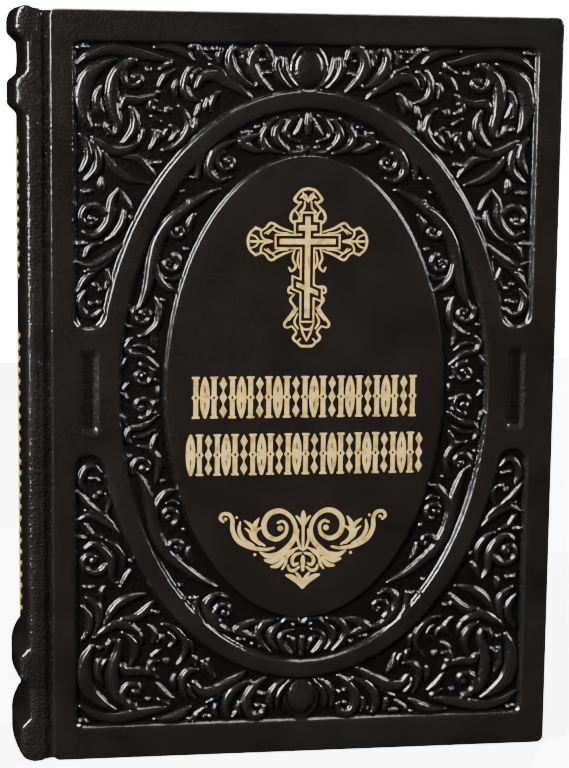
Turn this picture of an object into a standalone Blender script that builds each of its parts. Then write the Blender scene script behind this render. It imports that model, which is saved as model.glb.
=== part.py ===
"""A case-bound leather prayer book, standing upright, as an assembly of its bookbinder's pieces.

Frame: +X runs from the spine to the fore edge, the front cover faces -Y, and +Z is up.
The origin is the middle of the footprint. Design sizes are in millimetres; meshes are in metres.

Across the thickness, each cover is leather, a die-cut overlay card, a greyboard, the leather's
turn-ins levelled by an infill card, and a pastedown. Between the covers lie the loose leaves and
the sewn sections, whose rounded spine carries stitches, tapes, mull and a paper lining.
"""
import math

import bmesh
import bpy
from mathutils import Matrix

MM = 0.001
SHARP_ANGLE = math.radians(30)
CLEAR = 0.3                      # gap kept between neighbouring pieces
FOIL_GAP = 0.1
FOIL_T = 0.2

# Cover, outer sizes with the leather on.
COVER_H = 246.0
COVER_W = 168.0
COVER_EDGE_ROUND = 1.5
LEATHER = 1.0
OVERLAY_CARD = 1.2
BOARD = 2.4
TURN_IN = 0.5
TURN_IN_WIDTH = 15.0
PASTEDOWN = 0.3
PASTEDOWN_MARGIN = 4.0
HINGE_EDGE_X = 3.0               # the cover's hinge edge, from the sections' fold line
COVER_PIVOT_X = -0.3             # the cover turns about a line in the groove, level with its outer face
RECESS = 1.3                     # depth of the sunk panels in the cover
MEDALLION_DROP = 0.6             # the oval medallion lies this far under the frame

# Ornament layout on a cover: u from the hinge edge, v up from the tail.
MID_U, MID_V = 83.5, 123.5
PANEL_U = (7.0, 160.0)
PANEL_V = (10.0, 237.0)
OVAL_OUTER = (68.5, 98.5)        # semi-axes: inner boundary of the corner panels
OVAL_RING = (62.0, 93.0)         # outer boundary of the sunk ring
OVAL_MEDALLION = (46.5, 77.0)    # the raised medallion
PANEL_END_V = 26.5               # height above and below the middle where the corner panels end
PANEL_END_R = 5.3
CROSS_V, FLOURISH_V = 164.5, 70.0
TITLE_BANDS = {"upper": (38.0, 114.5, 129.0), "lower": (40.0, 95.0, 109.5)}    # half width, low v, high v
CABOCHON_TOP = 0.2               # their crown lies this far under the frame
CABOCHONS = {"head": (83.0, 229.0, 4.6, 6.2), "tail": (84.0, 18.5, 4.4, 6.1)}    # u, v, semi-axes

# Text block.
BLOCK_H = 240.0
BLOCK_W = 167.0
SECTIONS = 12
SECTION_PITCH = 2.8
SECTION_T = SECTION_PITCH - CLEAR
FOLD_R = 0.95
SECTION_TAPER = 6.0              # the fold is thinner than the section over this width
LEAVES_PER_SIDE = 4              # a flyleaf and three loose leaves
LEAF_PITCH = 0.6
LEAF_T = 0.3
LEAF_START = 2.0                 # the leaf starts this far from its fold axis
BLOCK_HALF = SECTIONS * SECTION_PITCH / 2 + LEAVES_PER_SIDE * LEAF_PITCH
COVER_GAP = 0.4

# Across the thickness, from the middle plane out.
COVER_T = LEATHER + CLEAR + OVERLAY_CARD + CLEAR + BOARD + CLEAR + TURN_IN + CLEAR + PASTEDOWN
COVER_OUT = BLOCK_HALF + COVER_GAP + COVER_T

# Spine.
ROUNDING = 2.2                   # how far the sewn spine bulges
SPINE_BULGE = 2.7                # how far the case's spine bulges
RIDGE_X = -4.2                   # where the spine turns onto its front and back strips
STRIP_DROP = 0.9                 # the strips lie this far under the cover's outer face
STRIP_END_X = -0.8
RIDGE_ROUND = 1.1
INLAY_T = 1.2
BAND_RISE = 3.3
BAND_SLOPE = 2.2
BANDS = {"head": (236.5, 246.0), "upper": (213.5, 225.5), "lower": (26.0, 38.0), "tail": (0.0, 14.0)}
GROOVE_DEPTH = 2.4
JOINT_LEATHER = 0.9

SPINE_APEX_X = RIDGE_X - SPINE_BULGE
MIN_X, MAX_X = SPINE_APEX_X - BAND_RISE, HINGE_EDGE_X + COVER_W
SHIFT_X = -(MIN_X + MAX_X) / 2
BLOCK_Z = (COVER_H - BLOCK_H) / 2

FINISHES = {                     # colour, roughness
    "black_leather": ((0.012, 0.010, 0.009), 0.38),
    "gold_foil": ((0.80, 0.62, 0.34), 0.30),
    "greyboard": ((0.34, 0.31, 0.28), 0.90),
    "card": ((0.62, 0.55, 0.44), 0.85),
    "endpaper": ((0.80, 0.72, 0.55), 0.80),
    "book_paper": ((0.84, 0.78, 0.64), 0.85),
    "mull_gauze": ((0.74, 0.70, 0.60), 0.95),
    "linen_tape": ((0.70, 0.63, 0.50), 0.95),
    "silk_headband": ((0.50, 0.08, 0.06), 0.55),
    "linen_thread": ((0.82, 0.76, 0.62), 0.80),
}


# ---------------------------------------------------------------- scene and materials

def clear_scene():
    for obj in list(bpy.data.objects):
        bpy.data.objects.remove(obj, do_unlink=True)


def make_material(name):
    colour, roughness = FINISHES[name]
    material = bpy.data.materials.new(name)
    material.use_nodes = True
    shader = material.node_tree.nodes["Principled BSDF"]
    shader.inputs["Base Color"].default_value = (*colour, 1.0)
    shader.inputs["Roughness"].default_value = roughness
    shader.inputs["Metallic"].default_value = 1.0 if name == "gold_foil" else 0.0
    material.diffuse_color = (*colour, 1.0)
    return material


def material_named(name):
    return bpy.data.materials.get(name) or make_material(name)


def world(x, y, z):
    """A point of the design frame, in millimetres, as a world position in metres."""
    return ((x + SHIFT_X) * MM, y * MM, z * MM)


def solid(name, points, faces, finish):
    """One object from points in millimetres of the design frame, with its faces turned outwards."""
    mesh = bpy.data.meshes.new(name)
    mesh.from_pydata([world(*p) for p in points], [], faces)
    bm = bmesh.new()
    bm.from_mesh(mesh)
    bmesh.ops.recalc_face_normals(bm, faces=bm.faces)
    bm.to_mesh(mesh)
    bm.free()
    mesh.shade_smooth()
    mesh.set_sharp_from_angle(angle=SHARP_ANGLE)
    mesh.materials.append(material_named(finish))
    obj = bpy.data.objects.new(name, mesh)
    bpy.context.scene.collection.objects.link(obj)
    return obj


def hinge(name, x, y, pieces):
    """An empty on an upright hinge axis, which carries the pieces that turn about it."""
    pivot = bpy.data.objects.new(name, None)
    pivot.location = world(x, y, COVER_H / 2)
    bpy.context.scene.collection.objects.link(pivot)
    for piece in pieces:
        piece.parent = pivot
        piece.matrix_parent_inverse = Matrix.Translation(pivot.location).inverted()


# ---------------------------------------------------------------- basic solids

def prism(name, outline, low, high, finish, axis="z"):
    """An outline extruded from low to high. Along z it is (x, y) points; along y it is (x, z)."""
    def place(p, level):
        return (p[0], p[1], level) if axis == "z" else (p[0], level, p[1])

    count = len(outline)
    points = [place(p, low) for p in outline] + [place(p, high) for p in outline]
    faces = [tuple(range(count)), tuple(range(2 * count - 1, count - 1, -1))]
    for i in range(count):
        j = (i + 1) % count
        faces.append((i, j, j + count, i + count))
    return solid(name, points, faces, finish)


def block(name, x, y, z, finish):
    return prism(name, [(x[0], y[0]), (x[1], y[0]), (x[1], y[1]), (x[0], y[1])], *z, finish)


def cut(target, cutter, operation="DIFFERENCE"):
    """A Boolean with a helper solid, which stays out of the model."""
    modifier = target.modifiers.new(operation.lower() + "_" + cutter.name, "BOOLEAN")
    modifier.operation = operation
    modifier.object = cutter
    cutter.hide_render = True
    cutter.display_type = "WIRE"
    cutter.hide_set(True)


# ---------------------------------------------------------------- ornament outlines

def to_cover(outline):
    return [(HINGE_EDGE_X + u, v) for u, v in outline]


def oval(semi_axes, grow=0.0, steps=48, centre=(MID_U, MID_V)):
    a, b = semi_axes[0] + grow, semi_axes[1] + grow
    turns = [2 * math.pi * i / steps for i in range(steps)]
    return [(centre[0] + a * math.cos(t), centre[1] + b * math.sin(t)) for t in turns]


def corner_panel(up, grow=0.0, steps=20):
    """The sunk panel that fills two corners above (up 1) or below (up -1) the oval."""
    a, b = OVAL_OUTER[0] - grow, OVAL_OUTER[1] - grow
    left, right = PANEL_U[0] - grow, PANEL_U[1] + grow
    far = (PANEL_V[1] - MID_V if up > 0 else MID_V - PANEL_V[0]) + grow
    radius = PANEL_END_R + grow
    points = [(left, far), (left, PANEL_END_V)]
    centre_left = left + radius
    for i in range(1, 7):
        turn = math.pi + math.pi * i / 7
        points.append((centre_left + radius * math.cos(turn), PANEL_END_V + radius * math.sin(turn)))
    start = math.pi - math.asin(PANEL_END_V / b)
    end = math.pi - start
    for i in range(steps + 1):
        turn = start + (end - start) * i / steps
        points.append((MID_U + a * math.cos(turn), b * math.sin(turn)))
    centre_right = right - radius
    for i in range(1, 7):
        turn = math.pi + math.pi * i / 7
        points.append((centre_right + radius * math.cos(turn), PANEL_END_V + radius * math.sin(turn)))
    points += [(right, PANEL_END_V), (right, far)]
    return [(u, MID_V + up * v) for u, v in points]


# ---------------------------------------------------------------- covers

def stack_depths():
    """Each layer of a cover as (outer, inner) depth under its outer face."""
    depth, layers = 0.0, {}
    for layer, thickness in (("leather", LEATHER), ("overlay", OVERLAY_CARD), ("board", BOARD),
                             ("turn_in", TURN_IN), ("pastedown", PASTEDOWN)):
        layers[layer] = (depth, depth + thickness)
        depth += thickness + CLEAR
    return layers


def across(side, depths):
    """Depths under the outer face as the two Y levels on the front (side -1) or back (side 1)."""
    return sorted(side * (COVER_OUT - d) for d in depths)


def cover_leather(side, prefix, layers):
    inner_end = layers["turn_in"][1]
    wall, edge = LEATHER, HINGE_EDGE_X
    cover = block(prefix + "_cover_leather", (edge, edge + COVER_W), across(side, (0, inner_end)),
                  (0, COVER_H), "black_leather")
    rounding = cover.modifiers.new("edge_round", "BEVEL")
    rounding.width = COVER_EDGE_ROUND * MM
    rounding.segments = 3

    cavity = block(prefix + "_cavity", (edge + wall, edge + COVER_W - wall),
                   across(side, (wall, layers["turn_in"][0])), (wall, COVER_H - wall), "card")
    window = block(prefix + "_window", (edge + wall, edge + COVER_W - TURN_IN_WIDTH),
                   across(side, (layers["turn_in"][0] - 1, inner_end + 1)),
                   (TURN_IN_WIDTH, COVER_H - TURN_IN_WIDTH), "card")
    shapes = {"upper": corner_panel(1), "lower": corner_panel(-1), "ring": oval(OVAL_RING)}
    walls = {"upper": corner_panel(1, wall), "lower": corner_panel(-1, wall), "ring": oval(OVAL_RING, wall)}
    for where, outline in walls.items():
        floor = prism(prefix + "_floor_" + where, to_cover(outline),
                      *across(side, (-1, RECESS + wall)), "card", "y")
        cut(cavity, floor)
    island = prism(prefix + "_island_space", to_cover(oval(OVAL_MEDALLION, -wall)),
                   *across(side, (MEDALLION_DROP + wall, RECESS + wall + 1)), "card", "y")
    cut(cavity, island, "UNION")
    cut(cover, cavity)
    cut(cover, window)
    for where, outline in shapes.items():
        sunk = prism(prefix + "_sunk_" + where, to_cover(outline), *across(side, (-1, RECESS)), "card", "y")
        if where == "ring":
            keep = prism(prefix + "_keep_medallion", to_cover(oval(OVAL_MEDALLION)),
                         *across(side, (MEDALLION_DROP, RECESS + 1)), "card", "y")
            cut(sunk, keep)
        cut(cover, sunk)
    for where, (u, v, *semi_axes) in CABOCHONS.items():
        boss = prism(prefix + "_cabochon_" + where, to_cover(oval(semi_axes, steps=24, centre=(u, v))),
                     *across(side, (CABOCHON_TOP, RECESS + LEATHER / 2)), "card", "y")
        cut(cover, boss, "UNION")
    return cover


def cover_cards(side, prefix, layers):
    inset = LEATHER + CLEAR
    span = (HINGE_EDGE_X + inset, HINGE_EDGE_X + COVER_W - inset)
    rise = (inset, COVER_H - inset)
    frame = block(prefix + "_frame_card", span, across(side, layers["overlay"]), rise, "card")
    holes = {"upper": corner_panel(1, inset), "lower": corner_panel(-1, inset),
             "ring": oval(OVAL_RING, inset)}
    for where, outline in holes.items():
        hole = prism(prefix + "_die_" + where, to_cover(outline),
                     *across(side, (layers["overlay"][0] - 1, layers["overlay"][1] + 1)), "card", "y")
        cut(frame, hole)
    top = MEDALLION_DROP + LEATHER + CLEAR
    medallion = prism(prefix + "_medallion_card", to_cover(oval(OVAL_MEDALLION, -inset)),
                      *across(side, (top, layers["overlay"][1])), "card", "y")
    board = block(prefix + "_board", span, across(side, layers["board"]), rise, "greyboard")
    infill = block(prefix + "_infill_card",
                   (HINGE_EDGE_X + inset, HINGE_EDGE_X + COVER_W - TURN_IN_WIDTH - CLEAR),
                   across(side, layers["turn_in"]),
                   (TURN_IN_WIDTH + CLEAR, COVER_H - TURN_IN_WIDTH - CLEAR), "card")
    pastedown = block(prefix + "_pastedown",
                      (HINGE_EDGE_X + inset, HINGE_EDGE_X + COVER_W - PASTEDOWN_MARGIN),
                      across(side, layers["pastedown"]),
                      (PASTEDOWN_MARGIN, COVER_H - PASTEDOWN_MARGIN), "endpaper")
    return [frame, medallion, board, infill, pastedown]


def joint_leather(side, prefix):
    """The leather of the French groove, between the spine and the cover's hinge edge."""
    left, right = STRIP_END_X + CLEAR, HINGE_EDGE_X - CLEAR
    shoulder = COVER_OUT - STRIP_DROP
    middle = (left + right) / 2
    skin = [(left, shoulder), ((left + middle) / 2, shoulder - 0.75 * GROOVE_DEPTH),
            (middle, shoulder - GROOVE_DEPTH), ((right + middle) / 2, shoulder - 0.75 * GROOVE_DEPTH),
            (right, shoulder)]
    under = [(x, y - JOINT_LEATHER) for x, y in reversed(skin)]
    prism(prefix + "_joint_leather", [(x, side * y) for x, y in skin + under], 0, COVER_H, "black_leather")


def cover(side, prefix):
    layers = stack_depths()
    pieces = [cover_leather(side, prefix, layers)] + cover_cards(side, prefix, layers)
    if side < 0:
        pieces += gilding()
    hinge(prefix + "_cover_hinge", COVER_PIVOT_X, side * COVER_OUT, pieces)
    joint_leather(side, prefix)


# ---------------------------------------------------------------- gilding on the front cover

def three_bar_cross():
    """Outline of an upright cross with a short top bar, a long bar and a slanted foot bar."""
    half, top, foot = 1.6, 20.0, -26.0
    short, wide, slant = 5.0, 16.0, 5.6
    right = [(half, top), (half, 14.6), (short, 14.6), (short, 12.0), (half, 12.0), (half, 7.4),
             (wide, 7.4), (wide, 4.0), (half, 4.0), (half, -11.0), (slant, -13.4), (slant, -16.2),
             (half, -13.8), (half, foot)]
    left = [(-half, foot), (-half, -11.6), (-slant, -9.2), (-slant, -6.4), (-half, -8.8), (-half, 4.0),
            (-wide, 4.0), (-wide, 7.4), (-half, 7.4), (-half, 12.0), (-short, 12.0), (-short, 14.6),
            (-half, 14.6), (-half, top)]
    return right + left


def gilding():
    foil = across(-1, (MEDALLION_DROP - FOIL_GAP - FOIL_T, MEDALLION_DROP - FOIL_GAP))
    pieces = [prism("cover_cross_gilding", to_cover([(MID_U + x, CROSS_V + z) for x, z in three_bar_cross()]),
                    *foil, "gold_foil", "y")]
    for name, (half, low, high) in TITLE_BANDS.items():
        left, right = MID_U - half, MID_U + half
        band = [(left, low), (right, low), (right, high), (left, high)]
        pieces.append(prism("cover_" + name + "_band_gilding", to_cover(band), *foil, "gold_foil", "y"))
    drop = [(-28, 12.5), (-26, 3), (-14, -4), (0, -13), (14, -4), (26, 3), (28, 12.5), (9, 12), (0, 8),
            (-9, 12)]
    pieces.append(prism("cover_flourish_gilding", to_cover([(MID_U + x, FLOURISH_V + z) for x, z in drop]),
                        *foil, "gold_foil", "y"))
    return pieces


# ---------------------------------------------------------------- spine of the case

def spine_profile(offset):
    """Half-open outline of the case's spine, as (x, y) points from the front strip to the back strip.
    offset moves it inwards, towards +X and the middle."""
    strip_y = COVER_OUT - STRIP_DROP - offset
    ridge_x = RIDGE_X + offset
    radius = max(RIDGE_ROUND - offset, 0.1)
    half = [(STRIP_END_X, strip_y), (ridge_x + radius, strip_y),
            (ridge_x + radius * 0.3, strip_y - radius * 0.3), (ridge_x, strip_y - radius)]
    reach = strip_y - radius
    bulge = [(ridge_x - SPINE_BULGE * (1 - (y / reach) ** 2), y)
             for y in [reach * (1 - i / 6) for i in range(1, 6)]]
    front = [(x, -y) for x, y in half + bulge]
    middle = [(ridge_x - SPINE_BULGE, 0.0)]
    return front + middle + [(x, -y) for x, y in reversed(front)]


def band_rise(z):
    """How far the raised bands lift the leather at this height."""
    rise = 0.0
    for low, high in BANDS.values():
        inside = min(z - low if low > 0 else 1e9, high - z if high < COVER_H else 1e9)
        rise = max(rise, min(1.0, max(0.0, inside / BAND_SLOPE)))
    return BAND_RISE * rise


def lifted(point, rise):
    """A point of the spine pushed out by a band, fading out around the ridge."""
    x, y = point
    fade = min(1.0, max(0.0, (COVER_OUT - STRIP_DROP - abs(y)) / RIDGE_ROUND))
    return (x - rise * fade, y)


def spine_leather():
    outer, inner = spine_profile(0.0), spine_profile(LEATHER)
    levels = [0.0]
    for low, high in sorted(BANDS.values()):
        if low > 0:
            levels += [low, low + BAND_SLOPE]
        if high < COVER_H:
            levels += [high - BAND_SLOPE, high]
    levels.append(COVER_H)
    points, faces = [], []
    for z in levels:
        rise = band_rise(z)
        ring = [lifted(p, rise) for p in outer] + [lifted(p, rise) for p in reversed(inner)]
        points += [(x, y, z) for x, y in ring]
    count = len(outer) * 2
    for k in range(len(levels) - 1):
        base = k * count
        for i in range(count):
            j = (i + 1) % count
            faces.append((base + i, base + j, base + j + count, base + i + count))
    last = (len(levels) - 1) * count
    faces.append(tuple(range(count)))
    faces.append(tuple(range(last + count - 1, last - 1, -1)))
    solid("spine_leather", points, faces, "black_leather")


def bent_strip(name, near, far, half_width, z, finish, bulge=SPINE_BULGE, reach=None):
    """A strip bent along the spine: near and far are its two faces' X at the crown."""
    reach = reach or COVER_OUT - STRIP_DROP - RIDGE_ROUND
    steps = 8
    ys = [half_width * (2 * i / steps - 1) for i in range(steps + 1)]

    def face(crown):
        return [(crown + bulge * (y / reach) ** 2, y) for y in ys]

    prism(name, face(near) + list(reversed(face(far))), *z, finish)


def spine_case():
    spine_leather()
    inlay_near = SPINE_APEX_X + LEATHER + CLEAR
    inlay_half = COVER_OUT - STRIP_DROP - LEATHER - CLEAR - RIDGE_ROUND
    bent_strip("spine_inlay_card", inlay_near, inlay_near + INLAY_T, inlay_half, (0.5, COVER_H - 0.5), "card")
    for where, (low, high) in BANDS.items():
        low = low + BAND_SLOPE if low > 0 else 0.5
        high = high - BAND_SLOPE if high < COVER_H else COVER_H - 0.5
        bent_strip("spine_band_" + where, inlay_near - BAND_RISE, inlay_near - CLEAR, inlay_half,
                   (low, high), "card")
    for where, (low, high) in {"upper": (158.0, 206.0), "lower": (46.0, 142.0)}.items():
        bent_strip("spine_gilding_" + where, SPINE_APEX_X - FOIL_GAP - FOIL_T, SPINE_APEX_X - FOIL_GAP,
                   13.0, (low, high), "gold_foil")


# ---------------------------------------------------------------- text block

def fold_x(y):
    """X of the sewn spine's outer line at this Y: a gentle round back."""
    return -ROUNDING * (1 - (y / BLOCK_HALF) ** 2)


def section_mid_y(index):
    return (index - (SECTIONS + 1) / 2) * SECTION_PITCH


def section(index):
    y = section_mid_y(index)
    x = fold_x(y)
    half = SECTION_T / 2
    turns = [math.pi * i / 4 for i in range(5)]
    arc = [(FOLD_R * (1 - math.sin(turn)), -FOLD_R * math.cos(turn)) for turn in turns]
    fore_edge = BLOCK_W - 0.4 * x
    outline = [(fore_edge, -half), (SECTION_TAPER, -half)] + arc + [(SECTION_TAPER, half), (fore_edge, half)]
    name = f"section_{index:02d}"
    folded = prism(name, [(x + u, y + v) for u, v in outline], BLOCK_Z, BLOCK_Z + BLOCK_H, "book_paper")
    hinge(name + "_fold", x, y, [folded])


def leaf_mid_y(order):
    """Distance from the middle plane of a loose leaf: order 0 is the flyleaf."""
    return BLOCK_HALF - LEAF_PITCH / 2 - order * LEAF_PITCH


def leaves(side, prefix):
    for order in range(LEAVES_PER_SIDE):
        name = prefix + ("_flyleaf" if order == 0 else f"_leaf_{order}")
        y = side * leaf_mid_y(order)
        leaf = block(name, (LEAF_START, BLOCK_W), (y - LEAF_T / 2, y + LEAF_T / 2),
                     (BLOCK_Z, BLOCK_Z + BLOCK_H), "endpaper" if order == 0 else "book_paper")
        hinge(name + "_fold", 0, y, [leaf])


def spine_linings():
    """Stitches and tapes, mull and paper, each bent over the round back outside the one before."""
    round_back = {"bulge": ROUNDING, "reach": BLOCK_HALF}
    half = SECTIONS * SECTION_PITCH / 2
    face = -ROUNDING - 0.5

    def layer(name, thickness, z, finish, width=half):
        bent_strip(name, face - thickness, face, width, z, finish, **round_back)

    for index, z in enumerate((62.0, 123.0, 184.0), start=1):
        layer(f"sewing_tape_{index}", 0.3, (z - 6, z + 6), "linen_tape")
    layer("kettle_stitch_tail", 0.3, (BLOCK_Z + 11.5, BLOCK_Z + 12.5), "linen_thread")
    layer("kettle_stitch_head", 0.3, (BLOCK_Z + BLOCK_H - 12.5, BLOCK_Z + BLOCK_H - 11.5), "linen_thread")
    face -= 0.3 + CLEAR
    layer("spine_mull", 0.2, (BLOCK_Z + 8, BLOCK_Z + BLOCK_H - 8), "mull_gauze")
    face -= 0.2 + CLEAR
    layer("spine_lining_paper", 0.2, (BLOCK_Z + 2, BLOCK_Z + BLOCK_H - 2), "card")


def headband(name, low, high):
    """A sewn silk bead along the round back, at the head or tail of the text block."""
    half = SECTIONS * SECTION_PITCH / 2
    bent_strip(name, -ROUNDING - 1.2, -ROUNDING + 1.2, half, (low, high), "silk_headband",
               bulge=ROUNDING, reach=BLOCK_HALF)


def text_block():
    for index in range(1, SECTIONS + 1):
        section(index)
    leaves(-1, "front")
    leaves(1, "back")
    spine_linings()
    headband("headband", BLOCK_Z + BLOCK_H + CLEAR, COVER_H - 0.5)
    headband("tailband", 0.5, BLOCK_Z - CLEAR)


clear_scene()
cover(-1, "front")
cover(1, "back")
spine_case()
text_block()
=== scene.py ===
"""A leather prayer book with an embossed cover, gilt tooling, raised bands and a sewn text block."""
import math

import bmesh
import bpy
import numpy as np
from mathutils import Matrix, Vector
from mathutils.geometry import delaunay_2d_cdt


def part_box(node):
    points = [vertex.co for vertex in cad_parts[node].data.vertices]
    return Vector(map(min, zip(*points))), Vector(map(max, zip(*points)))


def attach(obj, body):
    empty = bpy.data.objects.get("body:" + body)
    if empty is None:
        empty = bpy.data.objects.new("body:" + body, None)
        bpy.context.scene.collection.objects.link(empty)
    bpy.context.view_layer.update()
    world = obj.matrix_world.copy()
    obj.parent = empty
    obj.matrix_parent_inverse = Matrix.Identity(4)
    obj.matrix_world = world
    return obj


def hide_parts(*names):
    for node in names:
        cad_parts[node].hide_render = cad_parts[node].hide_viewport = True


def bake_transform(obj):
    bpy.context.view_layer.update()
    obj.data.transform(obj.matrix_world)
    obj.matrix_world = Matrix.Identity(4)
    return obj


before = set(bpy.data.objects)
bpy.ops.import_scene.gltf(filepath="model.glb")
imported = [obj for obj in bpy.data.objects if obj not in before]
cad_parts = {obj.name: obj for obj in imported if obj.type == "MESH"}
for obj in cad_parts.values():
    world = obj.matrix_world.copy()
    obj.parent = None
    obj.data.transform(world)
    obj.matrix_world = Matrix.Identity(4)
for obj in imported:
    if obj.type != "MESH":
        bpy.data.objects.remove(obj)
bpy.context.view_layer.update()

MM = 0.001

# ------------------------------------------------------------------ sizes, in millimetres


def box_mm(node):
    low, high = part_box(node)
    return [c / MM for c in low], [c / MM for c in high]


FRONT_LOW, FRONT_HIGH = box_mm("front_cover_leather")
COVER_X = FRONT_LOW[0]
COVER_W, COVER_H = FRONT_HIGH[0] - FRONT_LOW[0], FRONT_HIGH[2]
COVER_T = FRONT_HIGH[1] - FRONT_LOW[1]
COVER_FACE = box_mm("back_cover_leather")[1][1]     # a cover's face, from the book's middle plane

MID_U, MID_V = 83.5, 123.5          # middle of the ornament, from the hinge edge and the tail
WINDOW_A, WINDOW_B = 76.5, 113.5    # half width and half height of the sunk corner panels
CORNER_OVAL = (68.5, 98.0)          # half axes of the oval that ends the corner panels
RING_OVAL = (62.0, 93.0)            # half axes of the ring's outer edge
MEDALLION_OVAL = (46.5, 77.3)       # half axes of the middle medallion
PANEL_END = 20.5                    # the corner panels end this far above the middle
SUNK = 1.35                         # depth of the panels' ground
WALL = 1.5                          # width of the slope down to it
MEDALLION_WALL = 0.95
MEDALLION_DROP = 0.25
CABOCHON_AT = 105.2                 # from the ornament's middle, towards the head and the tail
CABOCHON_OVAL = (4.7, 6.3)
CABOCHON_RIM = (5.5, 7.2)
SLOT_AT = 71.7                      # from the ornament's middle, towards the hinge and the fore edge
SLOT_HALF_WIDTH, SLOT_HALF_LENGTH = 3.4, 14.2
SLOT_DEPTH = 1.15                   # the card under the leather would show through past 1.2
SLOT_WALL = 2.5
CELL = 0.15                         # raster of the embossing
ORNAMENT = 0.9925                   # size of the ornament against the sizes its strokes are given in


# ------------------------------------------------------------------ ornament: strokes on one quarter
# A stroke is a list of (u, v, radius) points, from the hinge edge and the tail, on the upper left
# quarter. The other three quarters are its mirror images.

def volute(u, v, radius, start, turns, hand, thick, eye):
    """A scroll that winds in from its rim to a round eye."""
    points = max(10, int(16 * turns))
    stroke = []
    for i in range(points + 1):
        t = i / points
        turn = math.radians(start + hand * 360 * turns * t)
        reach = radius * (1 - 0.78 * t) + 0.1
        stroke.append((u + reach * math.cos(turn), v + reach * math.sin(turn), thick * (1 - 0.45 * t)))
    return [stroke, [(u, v, eye), (u + 0.05, v, eye)]]


def dots(*places, size=0.75):
    return [[(u, v, size), (u + 0.04, v, size)] for u, v in places]


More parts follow.
